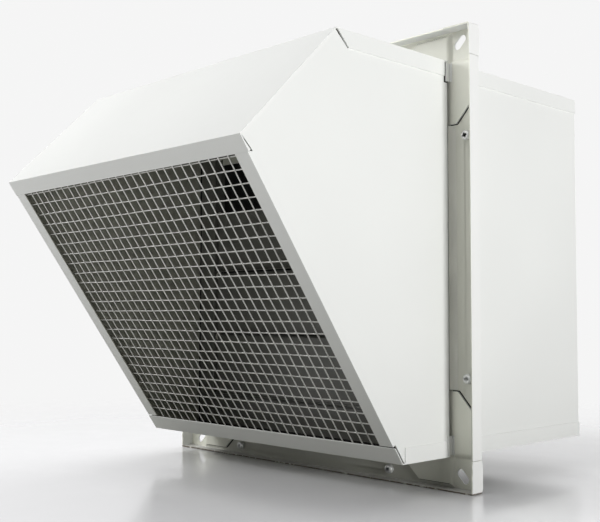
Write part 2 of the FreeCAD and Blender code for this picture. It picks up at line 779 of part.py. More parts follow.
def build_shutter_bushes():
    """Turn the bushes that the pivot rods run in, one at each end of each blade."""
    bushes = []
    inner = value(OPENING_X)
    for number in range(int(value("shutter_blades"))):
        for side in (1, -1):
            out = Vector(side, 0, 0)
            centre = Vector(0, value(HINGE_Y), value(hinge_height(number)))
            head_place = centre + out * (inner - value("bush_flange"))
            head = Part.makeCylinder(value("bush_head/2"), value("bush_flange"), head_place, out)
            body_place = centre + out * inner
            body = Part.makeCylinder(value("bush_body/2"), value("bush_length"), body_place, out)
            total = value("bush_flange+bush_length")
            bore_radius = value("pivot_rod/2+pivot_clearance")
            bore = Part.makeCylinder(bore_radius, total, head_place, out)
            bushes.append(head.fuse(body).cut(bore).removeSplitter())
    group("shutter_bushes", bushes)


def build_shutter_blade(number):
    """Curl one blade round its pivot rod; the top blade is stored lifted."""
    lift = "blade_lift" if number == 0 else "0"
    place = FreeCAD.Placement(Vector(0, 0, 0), FreeCAD.Rotation(Vector(-1, 0, 0), 1))
    body = new_body(f"shutter_blade_{number + 1}")
    body.Placement = place
    drop = f"({BLADE_PITCH}-barrel/2-blade_gap)"
    front = "(-barrel/2)"
    back = "(-barrel/2+blade_sheet)"
    sheet = [
        (back, "0"),
        (front, "0"),
        (front, f"(-{drop}+blade_sheet)"),
        (f"({front}-blade_lip)", f"(-{drop}+blade_sheet)"),
        (f"({front}-blade_lip)", minus(drop)),
        (back, minus(drop)),
    ]
    long = f"(2*{BLADE_HALF})"
    barrel = [("0", "0", "(barrel/2)"), ("0", "0", "(pivot_rod/2)")]
    pad(body, "barrel", "YZ_Plane", [], minus(BLADE_HALF), long, barrel)
    pad(body, "sheet", "YZ_Plane", [sheet], minus(BLADE_HALF), long)
    rod = keep(doc.addObject("Part::Cylinder", f"shutter_rod_{number + 1}"), f"shutter_rod_{number + 1}")
    reach = f"({OPENING_X}+bush_length)"
    rod.setExpression("Radius", bound("(pivot_rod/2)"))
    rod.setExpression("Height", bound(f"(2*{reach})"))
    rod.Placement = FreeCAD.Placement(Vector(0, 0, 0), FreeCAD.Rotation(Vector(0, 1, 0), 90))
    rod.setExpression("Placement.Base.x", bound(minus(reach)))
    for piece in (body, rod):
        piece.setExpression("Placement.Base.y", bound(HINGE_Y))
        piece.setExpression("Placement.Base.z", bound(hinge_height(number)))
    body.setExpression("Placement.Rotation.Angle", bound(lift))


def build_motor():
    """Make the motor: finned shell with side pads, end caps, bearings, rotor core and shaft."""
    shell = new_body("motor_shell")
    radius = "(motor_diameter/2)"
    revolve(shell, "tube", [rectangle("motor_front", MOTOR_REAR, "(rotor_bore/2)", radius)])
    bolt_radius = "(motor_bolt/2+hole_clearance)"
    spots = [(MOTOR_MIDDLE, f"({sign}motor_bolt_spacing/2)", bolt_radius) for sign in ("", "-")]
    pad_face = rectangle(f"({MOTOR_MIDDLE}-pad_width/2)", f"({MOTOR_MIDDLE}+pad_width/2)",
                         "(-pad_height/2)", "(pad_height/2)")
    root = f"({radius}-2*fin_height)"
    pad(shell, "pad_right", "YZ_Plane", [pad_face], root, f"({BAR_INNER}-{root})", spots)
    pad(shell, "pad_left", "YZ_Plane", [pad_face], minus(BAR_INNER), f"({BAR_INNER}-{root})", spots)
    fin = rectangle("(-fin_thickness/2)", "(fin_thickness/2)", f"({radius}-fin_thickness)",
                    f"({radius}+fin_height)")
    rib = pad(shell, "fin", "XZ_Plane", [fin], "(motor_front+cap_wall)", "(motor_length-2*cap_wall)")
    ring_round(shell, rib, "fin_count")

    cap = new_body("motor_cap_front")
    back = "motor_front"
    face = "(motor_front-cap_wall)"
    nose = "(motor_front-cap_depth)"
    bore = "(bearing_outer/2)"
    boss = "(bearing_outer/2+bearing_shell)"
    shoulder = "(shaft_diameter/2+bearing_shell/2)"
    profile = [
        (back, boss),
        (back, radius),
        (face, radius),
        (face, boss),
        (nose, boss),
        (nose, shoulder),
        (f"({nose}+cap_depth-bearing_width)", shoulder),
        (f"({nose}+cap_depth-bearing_width)", bore),
        (back, bore),
    ]
    revolve(cap, "cap", [profile])
    mirror("motor_cap_rear", cap, Vector(0, 1, 0), MOTOR_MIDDLE)

    bearing = new_body("motor_bearing_front")
    ring = rectangle("(motor_front-bearing_width)", "motor_front", "(shaft_diameter/2+running_fit)",
                     "(bearing_outer/2-running_fit)")
    revolve(bearing, "ring", [ring])
    mirror("motor_bearing_rear", bearing, Vector(0, 1, 0), MOTOR_MIDDLE)

    core = new_body("rotor_core")
    length = rectangle(f"({MOTOR_MIDDLE}-rotor_length/2)", f"({MOTOR_MIDDLE}+rotor_length/2)",
                       "(shaft_diameter/2)", "(rotor_bore/2-air_gap)")
    revolve(core, "core", [length])

    shaft = keep(doc.addObject("Part::Cylinder", "motor_shaft"), "motor_shaft")
    front = "(motor_front-cap_depth)"
    shaft.setExpression("Radius", bound("(shaft_diameter/2)"))
    shaft.setExpression("Height", bound(f"({HUB_REAR}+nut_height+wall-{front})"))
    shaft.Placement = FreeCAD.Placement(Vector(0, 0, 0), FreeCAD.Rotation(Vector(1, 0, 0), -90))
    shaft.setExpression("Placement.Base.y", bound(front))


def build_motor_bars():
    """Bend the two upright bars that carry the motor, with feet on the casing's top and bottom."""
    body = new_body("motor_bar_right")
    outer = BAR_OUTER
    foot = f"({outer}+bar_foot)"
    profile = [
        (BAR_INNER, minus(INNER)),
        (foot, minus(INNER)),
        (foot, f"(-{INNER}+bar_thickness)"),
        (outer, f"(-{INNER}+bar_thickness)"),
        (outer, f"({INNER}-bar_thickness)"),
        (foot, f"({INNER}-bar_thickness)"),
        (foot, INNER),
        (BAR_INNER, INNER),
    ]
    pad(body, "bar", "XZ_Plane", [profile], f"({MOTOR_MIDDLE}-bar_width/2)", "bar_width")
    radius = "(motor_bolt/2+hole_clearance)"
    spots = [(MOTOR_MIDDLE, f"({sign}motor_bolt_spacing/2)", radius) for sign in ("", "-")]
    sketch = new_sketch(body, "YZ_Plane", "bolt_holes", [], spots)
    cut = body.newObject("PartDesign::Pocket", "motor_bar_right_bolt_holes_cut")
    cut.Profile = sketch
    cut.Midplane = True
    cut.setExpression("Length", bound(f"(4*{BAR_OUTER})"))
    mirror("motor_bar_left", body, Vector(1, 0, 0))

    bolts = []
    flats = value("bolt_head_flats")
    reach = value(f"({BAR_OUTER}-motor_diameter/2)")
    for side in (1, -1):
        out = Vector(side, 0, 0)
        for shift in (value("motor_bolt_spacing/2"), -value("motor_bolt_spacing/2")):
            seat = Vector(side * value(outer), value(MOTOR_MIDDLE), shift)
            corner = flats / math.sqrt(3)
            ring = []
            for step in range(7):
                angle = math.radians(60 * step)
                ring.append(seat + Vector(0, corner * math.cos(angle), corner * math.sin(angle)))
            head = Part.Face(Part.makePolygon(ring)).extrude(out * value("bolt_head_rise"))
            shank = Part.makeCylinder(value("motor_bolt/2"), reach, seat, out.negative())
            bolts.append(head.fuse(shank).removeSplitter())
    group("motor_bolts", bolts)


def build_impeller():
    """Make the hub, the twisted blades that meet its drum and the nut on the shaft."""
    hub = new_body("impeller_hub")
    drum = "(hub_diameter/2)"
    inner = "(hub_diameter/2-hub_wall)"
    boss = "(hub_boss/2)"
    bore = "(shaft_diameter/2)"
    web = f"({HUB_REAR}-hub_web)"
    profile = [
        (HUB_FRONT, inner),
        (HUB_FRONT, drum),
        (HUB_REAR, drum),
        (HUB_REAR, bore),
        (f"({HUB_FRONT}+hub_recess)", bore),
        (f"({HUB_FRONT}+hub_recess)", boss),
        (web, boss),
        (web, inner),
    ]
    revolve(hub, "hub", [profile])

    root = value(drum)
    tip = value("throat/2-tip_gap")
    middle = value(f"({HUB_FRONT}+hub_length/2)")
    tall = value("4*hub_length")
    shell = Part.makeCylinder(tip, tall, Vector(0, middle - tall / 2, 0), Vector(0, 1, 0))
    core = Part.makeCylinder(root, tall, Vector(0, middle - tall / 2, 0), Vector(0, 1, 0))
    blank = Part.makeLoft([blade_section(share, root, tip, middle) for share in (-0.1, 0.5, 1.15)], True, True)
    blade = blank.common(shell).cut(core)
    count = int(value("impeller_blades"))
    blades = []
    for number in range(count):
        copy = blade.copy()
        copy.rotate(Vector(0, 0, 0), Vector(0, 1, 0), 360 * number / count)
        blades.append(copy)
    group("impeller_blades", blades)

    nut = new_body("impeller_nut")
    pad(nut, "nut", "XZ_Plane", [hexagon("0", "0", "nut_flats")], HUB_REAR, "nut_height",
        [("0", "0", "(shaft_diameter/2)")])


def blade_section(share, root, tip, middle):
    """Give the closed section of a blade at a share of the way from the root to the tip."""
    radius = root + (tip - root) * share
    chord = value("root_chord") + (value("tip_chord") - value("root_chord")) * share
    pitch = math.radians(value("root_pitch") + (value("tip_pitch") - value("root_pitch")) * share)
    along = Vector(0, math.sin(pitch), math.cos(pitch))
    across = Vector(0, math.cos(pitch), -math.sin(pitch)) * (value("blade_thickness") / 2)
    centre = Vector(radius, middle, 0)
    half = along * (chord / 2)
    corners = [centre - half - across, centre + half - across, centre + half + across, centre - half + across]
    return Part.makePolygon(corners + corners[:1])


def build_guard():
    """Make the inlet guard: a wire ring on posts, level wires across it and two upright stays."""
    wire = value("guard_wire/2")
    level = value(GUARD_Y)
    out = value(GUARD_OUT)
    axis = Vector(0, 1, 0)
    layer = 2 * wire + value("wire_clearance")
    ring = Part.makeTorus(out, wire, Vector(0, level, 0), axis)
    group("guard_ring", [ring])
    rows = int(value(f"floor({GUARD_OUT}/guard_pitch)"))
    wires = []
    for row in range(-rows, rows + 1):
        height = row * value("guard_pitch")
        half = math.sqrt(out ** 2 - height ** 2)
        start = Vector(-half, level + layer, height)
        wires.append(Part.makeCylinder(wire, 2 * half, start, Vector(1, 0, 0)))
    group("guard_wires", wires)
    stays = []
    for side in (-1, 1):
        across = side * value("guard_stay")
        half = math.sqrt(out ** 2 - across ** 2)
        start = Vector(across, level + 2 * layer, -half)
        stays.append(Part.makeCylinder(wire, 2 * half, start, Vector(0, 0, 1)))
    group("guard_stays", stays)
    posts = []
    for number in range(4):
        angle = math.radians(90 * number)
        foot = Vector(math.cos(angle), 0, math.sin(angle)) * out + axis * value("casing_depth")
        tall = value("guard_rise+guard_wire/2")
        posts.append(Part.makeCylinder(value("guard_post/2"), tall, foot, axis).cut(ring))
    group("guard_posts", posts)


def build_terminal_box():
    """Make the terminal box on the rear panel, with its lid, screws and cable gland."""
    body = new_body("terminal_box")
    middle = minus(BOX_PLACE)
    left = f"({middle}-box_size/2)"
    right = f"({middle}+box_size/2)"
    outer = rectangle(left, right, left, right)
    hollow = rectangle(f"({left}+box_wall)", f"({right}-box_wall)", f"({left}+box_wall)", f"({right}-box_wall)")
    pad(body, "base", "XZ_Plane", [outer], "casing_depth", "box_wall")
    pad(body, "walls", "XZ_Plane", [outer, hollow], "casing_depth", "box_depth")
    middle_y = "(casing_depth+box_depth/2)"
    neck = [(middle, middle_y, "(gland_neck/2+running_fit)")]
    sketch = new_sketch(body, "XY_Plane", "gland_hole", [], neck)
    sketch.setExpression("AttachmentOffset.Base.z", bound(left))
    cut = body.newObject("PartDesign::Pocket", "terminal_box_gland_cut")
    cut.Profile = sketch
    cut.Midplane = True
    cut.setExpression("Length", bound("(4*box_wall)"))
    lid = new_body("terminal_lid")
    pad(lid, "lid", "XZ_Plane", [outer], "(casing_depth+box_depth)", "box_lid")
    gland = new_body("cable_gland")
    bore = [(middle, middle_y, "(gland_bore/2)")]
    flange_low = f"({left}-gland_length)"
    pad(gland, "hex", "XY_Plane", [hexagon(middle, middle_y, "gland_flats")], flange_low,
        "gland_length", bore)
    round_neck = bore + [(middle, middle_y, "(gland_neck/2)")]
    pad(gland, "neck", "XY_Plane", [], left, "(2*box_wall)", round_neck)
    inset = value("box_size/2-box_screw")
    screws = []
    for across in (1, -1):
        for up in (1, -1):
            seat = Vector(value(middle) + across * inset, value("casing_depth+box_depth+box_lid"),
                          value(middle) + up * inset)
            screws.append(Part.makeCylinder(value("box_screw/2"), value("box_screw_rise"), seat, Vector(0, 1, 0)))
    group("terminal_screws", screws)


def check_document():
    """Stop if any object failed or any sub-part has no sound solid."""
    for item in doc.Objects:
        bad = [state for state in item.State if state in ("Invalid", "Error")]
        if bad:
            raise RuntimeError(f"{item.Label} is {bad}")
    for node in NODES:
        shape = node.Shape
        if shape.isNull() or not shape.isValid() or not shape.Solids:
            raise RuntimeError(f"{node.Label} has no sound solid")


def export_parts():
    """Write each sub-part to its own STEP file."""
    os.makedirs("parts", exist_ok=True)
    for node in NODES:
        node.Shape.exportStep(f"parts/{node.Label}.step")


build_hood_top()
build_hood_bottom()
build_hood_sides()
build_mesh()
build_flange()
build_corners()
build_casing()
build_rear_panel()
build_screws()
build_shutter_frame()
build_shutter_bushes()
for blade_number in range(int(value("shutter_blades"))):
    build_shutter_blade(blade_number)
build_motor()
build_motor_bars()
build_impeller()
build_guard()
build_terminal_box()
doc.recompute()
check_document()
export_parts()
for node in NODES:
    print(f"{node.Label}: {len(node.Shape.Solids)} solids, {node.Shape.Volume / 1000:.2f} cm3")
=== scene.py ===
"""Dress the wall exhaust fan: finishes, wire mesh, bends and a plain studio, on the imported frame."""

import logging
import math
from dataclasses import dataclass, field
from enum import Enum
from typing import Iterable, Sequence

import bmesh
import bpy
from bmesh.types import BMEdge, BMesh, BMFace, BMVert
from bpy.types import Material, Node, NodeSocket, NodeTree, Object
from mathutils import Matrix, Vector


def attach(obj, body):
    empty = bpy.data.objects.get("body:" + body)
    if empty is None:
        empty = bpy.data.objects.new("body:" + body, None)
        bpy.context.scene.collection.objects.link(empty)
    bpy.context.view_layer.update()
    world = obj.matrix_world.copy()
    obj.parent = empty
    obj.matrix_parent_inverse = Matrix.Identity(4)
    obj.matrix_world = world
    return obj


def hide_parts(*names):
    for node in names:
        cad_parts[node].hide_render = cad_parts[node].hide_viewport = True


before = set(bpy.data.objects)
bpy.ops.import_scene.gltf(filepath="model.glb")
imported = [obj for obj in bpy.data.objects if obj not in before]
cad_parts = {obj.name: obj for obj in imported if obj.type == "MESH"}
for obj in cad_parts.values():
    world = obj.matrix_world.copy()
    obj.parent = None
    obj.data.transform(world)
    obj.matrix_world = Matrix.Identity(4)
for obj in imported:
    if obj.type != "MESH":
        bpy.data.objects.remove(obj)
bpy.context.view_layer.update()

HOUSING = "housing"
TINY = 1e-6
NOISE_ROUGHNESS = 0.55
GRAIN_HEIGHTS = (0.3, 1.0)
SOFT_ANGLE = math.radians(35.0)
STAND_UP = Matrix.Rotation(math.radians(90.0), 4, "X")
FORWARD = Vector((0.0, -1.0, 0.0))
Span = tuple[float, float]
Colour = tuple[float, float, float]
Skin = tuple[NodeSocket, NodeSocket, NodeSocket]
Sockets = bpy.types.bpy_prop_collection

logging.basicConfig(level=logging.INFO, format="%(levelname)s %(message)s")
log = logging.getLogger("fan")


class Soften(Enum):
    """How far a piece's edges are rounded, in metres."""

    SHEET = 0.00045
    CAST = 0.0008
    PLASTIC = 0.0010


class NodeBench:
    """Lay out and join the nodes of one shader tree."""

    def __init__(self, tree: NodeTree) -> None:
        """Keep the tree to fill and start a row of nodes."""
        self.tree = tree
        self.column = 0

    def add(self, kind: str, inputs: dict[object, object] | None = None, **settings: object) -> Node:
        """Add a node, set its properties and feed its inputs.

        Args:
            kind: The node's type name.
            inputs: What feeds its inputs, by name or number: sockets, numbers, vectors or colours.
            **settings: Properties of the node by name.

        Returns:
            The new node.
        """
        node = self.tree.nodes.new(kind)
        node.location = (self.column * 200, 0)
        self.column += 1
        for name, setting in settings.items():
            setattr(node, name, setting)
        for name, given in (inputs or {}).items():
            self.join(given, node.inputs[name])
        return node

    def join(self, given: object, target: NodeSocket) -> None:
        """Feed a socket from another one, or set its value.

        Args:
            given: The socket to link, or a number, a vector or a colour.
            target: The socket that takes it.
        """
        if isinstance(given, NodeSocket):
            self.tree.links.new(given, target)
        elif target.type == "RGBA":
            target.default_value = (*given, 1.0)
        else:
            target.default_value = given

    def point(self, system: str, axis: str | None = None) -> NodeSocket:
        """Give the shaded point's coordinates, or one of them.

        Args:
            system: The coordinates' name, such as Object or Normal.
            axis: X, Y or Z for that one alone.

        Returns:
            The socket of the vector, or of its part.
        """
        given = self.add("ShaderNodeTexCoord").outputs[system]
        if axis is None:
            return given
        return self.add("ShaderNodeSeparateXYZ", {0: given}).outputs[axis]

    def group(self, tree: NodeTree, **values: float) -> Sockets:
        """Place a shared effect, with its inputs by name and underscores for spaces."""
        inputs = {name.replace("_", " "): number for name, number in values.items()}
        return self.add("ShaderNodeGroup", inputs, node_tree=tree).outputs

    def math(self, operation: str, *inputs: object, clamp: bool = False) -> NodeSocket:
        """Work on sockets or numbers in order, and keep the result between 0 and 1 if clamped."""
        node = self.add("ShaderNodeMath", dict(enumerate(inputs)), operation=operation, use_clamp=clamp)
        return node.outputs[0]

    def noise(self, place: NodeSocket, scale: object, detail: float) -> NodeSocket:
        """Read a noise at a place, at a scale and with a number of finer layers."""
        inputs = {"Vector": place, "Scale": scale, "Detail": detail, "Roughness": NOISE_ROUGHNESS}
        return self.add("ShaderNodeTexNoise", inputs).outputs["Fac"]

    def spread(self, given: NodeSocket, low: object, high: object, start: float = 0.0,
               end: float = 1.0) -> NodeSocket:
        """Map a value from the range of low and high to that of start and end, clamped."""
        inputs = {"Value": given, "From Min": low, "From Max": high, "To Min": start, "To Max": end}
        return self.add("ShaderNodeMapRange", inputs, clamp=True).outputs["Result"]

    def tint(self, mask: NodeSocket, below: object, above: object) -> NodeSocket:
        """Mix two colours, or their sockets: the first where the mask is 0, the second where it is 1."""
        return self.add("ShaderNodeMix", {0: mask, 6: below, 7: above}, data_type="RGBA").outputs[2]


class EffectLibrary:
    """The shader effects that several finishes share, each built once as a node group."""

    def __init__(self) -> None:
        """Build every effect."""
        self.grain = self.build_grain()
        self.dust = self.build_dust()
        self.inside = self.build_inward_shade()
        self.front = self.build_front_shade()
        self.spangle = self.build_spangle()
        self.rub_and_contact_shade = self.build_rub_and_contact_shade()

    def start(self, name: str, inputs: dict[str, float],
              outputs: Sequence[str]) -> tuple[NodeBench, Sockets, Sockets]:
        """Start a group with named number inputs and outputs.

        Args:
            name: The group's name.
            inputs: Each input's name and first value.
            outputs: The outputs' names.

        Returns:
            The bench, the sockets that give the inputs and those that take the outputs.
        """
        tree = bpy.data.node_groups.new(name, "ShaderNodeTree")
        for label, number in inputs.items():
            socket = tree.interface.new_socket(label, in_out="INPUT", socket_type="NodeSocketFloat")
            socket.default_value = number
        for label in outputs:
            tree.interface.new_socket(label, in_out="OUTPUT", socket_type="NodeSocketFloat")
        bench = NodeBench(tree)
        return bench, bench.add("NodeGroupInput").outputs, bench.add("NodeGroupOutput").inputs

    def build_grain(self) -> NodeTree:
        """Build the coat's fine grain and the sheet's slow waves.

        Returns:
            A group that gives a height for bump and a slow tone.
        """
        bench, given, taken = self.start(
            "coat_grain", {"Fine Scale": 900.0, "Wave Scale": 6.0, "Wave Share": 0.5}, ("Height", "Tone"))
        place = bench.point("Object")
        fine = bench.noise(place, given["Fine Scale"], detail=2.0)
        wave = bench.noise(place, given["Wave Scale"], detail=1.0)
        slow = bench.math("MULTIPLY", wave, given["Wave Share"])
        bench.join(bench.math("ADD", fine, slow), taken["Height"])
        bench.join(bench.spread(wave, low=0.3, high=0.7), taken["Tone"])
        return bench.tree

    def build_dust(self) -> NodeTree:
        """Build the dust that settles on faces that look up.

        Returns:
            A group that gives the dust's mask.
        """
        bench, given, taken = self.start("settled_dust", {"Scale": 60.0, "Amount": 0.3}, ("Mask",))
        upward = bench.spread(bench.point("Normal", "Z"), low=0.35, high=1.0)
        cloud = bench.noise(bench.point("Object"), given["Scale"], detail=6.0)
        mask = bench.math("MULTIPLY", upward, bench.spread(cloud, low=0.42, high=0.72))
        bench.join(bench.math("MULTIPLY", mask, given["Amount"], clamp=True), taken["Mask"])
        return bench.tree

    def build_inward_shade(self) -> NodeTree:
        """Build the mask of faces that look towards the fan's axis, where a darker colour is painted as
        shade.

        Returns:
            A group that gives the mask.
        """
        bench, given, taken = self.start("inward_shade_face", {"Softness": 0.02, "Half": 0.1986}, ("Mask",))
        leans = [bench.math("MULTIPLY", bench.point("Object", axis), bench.point("Normal", axis))
                 for axis in "XZ"]
        inward = bench.math("MULTIPLY", bench.math("ADD", *leans), -1.0)
        share = bench.math("DIVIDE", inward, given["Softness"], clamp=True)
        aside = bench.math("ABSOLUTE", bench.point("Object", "X"))
        within = bench.math("LESS_THAN", aside, given["Half"])
        hidden = bench.math("GREATER_THAN", bench.point("Normal", "Y"), -0.5)
        both = bench.math("MULTIPLY", within, hidden)
        bench.join(bench.math("MULTIPLY", share, both), taken["Mask"])
        return bench.tree

    def build_front_shade(self) -> NodeTree:
        """Build the mask of forward faces, where a yellowed tone is painted as shade and graded by height.

        Returns:
            A group that gives the mask and how high the point is.
        """
        bench, given, taken = self.start(
            "front_shade_face", {"Start": 0.2, "End": 0.8, "Low": 0.12, "High": 0.215}, ("Mask", "Height"))
        height = bench.spread(bench.point("Object", "Z"), given["Low"], given["High"])
        bench.join(height, taken["Height"])
        # Painted shade: faces that look forward take the shaded tone.
        forward = bench.math("MULTIPLY", bench.point("Normal", "Y"), -1.0)
        bench.join(bench.spread(forward, given["Start"], given["End"]), taken["Mask"])
        return bench.tree

    def build_spangle(self) -> NodeTree:
        """Build the zinc crystals of hot dipped steel.

        Returns:
            A group that gives each crystal's tone.
        """
        bench, given, taken = self.start("zinc_spangle", {"Scale": 160.0}, ("Tone",))
        inputs = {"Vector": bench.point("Object"), "Scale": given["Scale"]}
        cells = bench.add("ShaderNodeTexVoronoi", inputs, feature="F1")
        parts = bench.add("ShaderNodeSeparateColor", {0: cells.outputs["Color"]})
        bench.join(parts.outputs[0], taken["Tone"])
        return bench.tree

    def build_rub_and_contact_shade(self) -> NodeTree:
        """Build the dark patches along the edge that the fan stands on: rubbed paint, and painted contact
        shade.

        Returns:
            A group that gives the patches' mask.
        """
        bench, given, taken = self.start(
            "floor_rub_and_contact_shade", {"Edge Height": -0.2306, "Depth": 0.0008}, ("Mask",))
        below = bench.math("SUBTRACT", given["Edge Height"], bench.point("Object", "Z"))
        near = bench.math("DIVIDE", below, given["Depth"], clamp=True)
        cloud = bench.noise(bench.point("Object"), scale=140.0, detail=4.0)
        rub_and_shade_patches = bench.spread(cloud, low=0.34, high=0.46)
        bench.join(bench.math("MULTIPLY", near, rub_and_shade_patches), taken["Mask"])
        return bench.tree


def shade(colour: Colour, share: float) -> Colour:
    """Give a darker or lighter copy of a colour."""
    return tuple(min(1.0, part * share) for part in colour)


@dataclass(frozen=True)
class Finish:
    """What every finish has: a name, a colour, a roughness range, a share of metal and a bump."""

    name: str
    colour: Colour
    roughness: Span = (0.38, 0.46)
    metallic: float = 0.0
    bump: float = 0.10
    relief: float = 0.0004

    def coat(self, bench: NodeBench, effects: EffectLibrary) -> Skin:
        """Lay the coat, which each kind of finish does in its own way."""
        raise NotImplementedError(self.name)

    def build(self, effects: EffectLibrary) -> Material:
        """Build the material.

        Args:
            effects: The shared effects.

        Returns:
            The material.
        """
        material = bpy.data.materials.new(self.name)
        material.use_nodes = True
        material.diffuse_color = (*self.colour, 1.0)
        bench = NodeBench(material.node_tree)
        colour, rough, height = self.coat(bench, effects)
        heights = {"Strength": self.bump, "Distance": self.relief, "Height": height}
        bump = bench.add("ShaderNodeBump", heights)
        shader = material.node_tree.nodes["Principled BSDF"]
        for name, given in (("Base Color", colour), ("Roughness", rough), ("Metallic", self.metallic),
                            ("Normal", bump.outputs["Normal"])):
            bench.join(given, shader.inputs[name])
        return material


@dataclass(frozen=True)
class CoatedSheet(Finish):
    """Powder coat on sheet steel, with painted shade on forward faces, on faces towards the axis and along
    the foot.
    """

    mottle: float = 0.965
    # Painted shade: faces that look towards the axis take this darker colour, in place of the shade inside
    # the hood and casing.
    inward_shade_colour: Colour | None = None
    contrast: float = 0.8
    dust: float = 0.05
    dust_colour: Colour = (0.62, 0.61, 0.57)
    # Painted shade: forward faces take this yellowed colour, scaled at the lower end of the height range
    # by the low share, in place of the shade and tint of the light on them.
    front_shade_colour: Colour | None = None
    low_shade_share: float = 0.8
    fade: Span = (0.12, 0.215)
    # Dark patches along the foot: rubbed paint and painted contact shade.
    rubbed_and_shaded: bool = False
    rub_and_shade_colour: Colour = (0.16, 0.13, 0.10)

    def coat(self, bench: NodeBench, effects: EffectLibrary) -> Skin:
        """Lay a clean coat, paint shade on forward faces, add dust, rubbing and contact shade at the foot,
        and shade faces towards the axis.

        Args:
            bench: The material's bench.
            effects: The shared effects.

        Returns:
            The sockets of the colour, the roughness and the bump's height.
        """
        grain = bench.group(effects.grain, Fine_Scale=1100.0, Wave_Scale=5.0, Wave_Share=6.0)
        colour = bench.tint(grain["Tone"], shade(self.colour, self.mottle), self.colour)
        # Painted shade on forward faces, graded from the low to the high end of the height range.
        if self.front_shade_colour is not None:
            low, high = self.fade
            front = bench.group(effects.front, Low=low, High=high)
            tone = bench.tint(front["Height"], shade(self.front_shade_colour, self.low_shade_share), self.front_shade_colour)
            colour = bench.tint(front["Mask"], colour, tone)
        dusty = bench.group(effects.dust, Scale=70.0, Amount=self.dust)
        colour = bench.tint(dusty["Mask"], colour, self.dust_colour)
        # Rubbing and painted contact shade along the foot.
        if self.rubbed_and_shaded:
            colour = bench.tint(bench.group(effects.rub_and_contact_shade)["Mask"], colour, self.rub_and_shade_colour)
        # Painted shade on faces towards the axis, with a zinc spangle pattern.
        if self.inward_shade_colour is not None:
            crystals = bench.group(effects.spangle, Scale=150.0)
            zinc = bench.tint(crystals["Tone"], shade(self.inward_shade_colour, self.contrast), self.inward_shade_colour)
            colour = bench.tint(bench.group(effects.inside)["Mask"], colour, zinc)
        rough = bench.spread(grain["Tone"], 0.0, 1.0, *self.roughness)
        return colour, rough, grain["Height"]


@dataclass(frozen=True)
class PlatedSteel(Finish):
    """Bare, plated or drawn steel."""

    metallic: float = 1.0
    bump: float = 0.08
    relief: float = 0.0002
    grain_scale: float = 700.0
    contrast: float = 0.8

    def coat(self, bench: NodeBench, effects: EffectLibrary) -> Skin:
        """Lay the metal's crystals and its fine grain.

        Args:
            bench: The material's bench.
            effects: The shared effects.

        Returns:
            The sockets of the colour, the roughness and the bump's height.
        """
        crystals = bench.group(effects.spangle, Scale=self.grain_scale)
        grain = bench.group(effects.grain, Fine_Scale=self.grain_scale * 2.0, Wave_Scale=40.0,
                            Wave_Share=0.4)
        colour = bench.tint(crystals["Tone"], shade(self.colour, self.contrast), self.colour)
        rough = bench.spread(grain["Height"], *GRAIN_HEIGHTS, *self.roughness)
        return colour, rough, grain["Height"]


@dataclass(frozen=True)
class CastEnamel(Finish):
    """Enamel over a cast or pressed surface that shows its grain."""

    bump: float = 0.25
    grain_scale: float = 420.0
    lift: float = 1.25
    dust: float = 0.35
    dust_colour: Colour = (0.42, 0.40, 0.36)

    def coat(self, bench: NodeBench, effects: EffectLibrary) -> Skin:
        """Lay the grained enamel and its dust.

        Args:
            bench: The material's bench.
            effects: The shared effects.

        Returns:
            The sockets of the colour, the roughness and the bump's height.
        """
        grain = bench.group(effects.grain, Fine_Scale=self.grain_scale, Wave_Scale=18.0, Wave_Share=0.5)
        colour = bench.tint(grain["Tone"], self.colour, shade(self.colour, self.lift))
        dusty = bench.group(effects.dust, Scale=90.0, Amount=self.dust)
        colour = bench.tint(dusty["Mask"], colour, self.dust_colour)
        rough = bench.spread(grain["Height"], *GRAIN_HEIGHTS, *self.roughness)
        return colour, rough, grain["Height"]


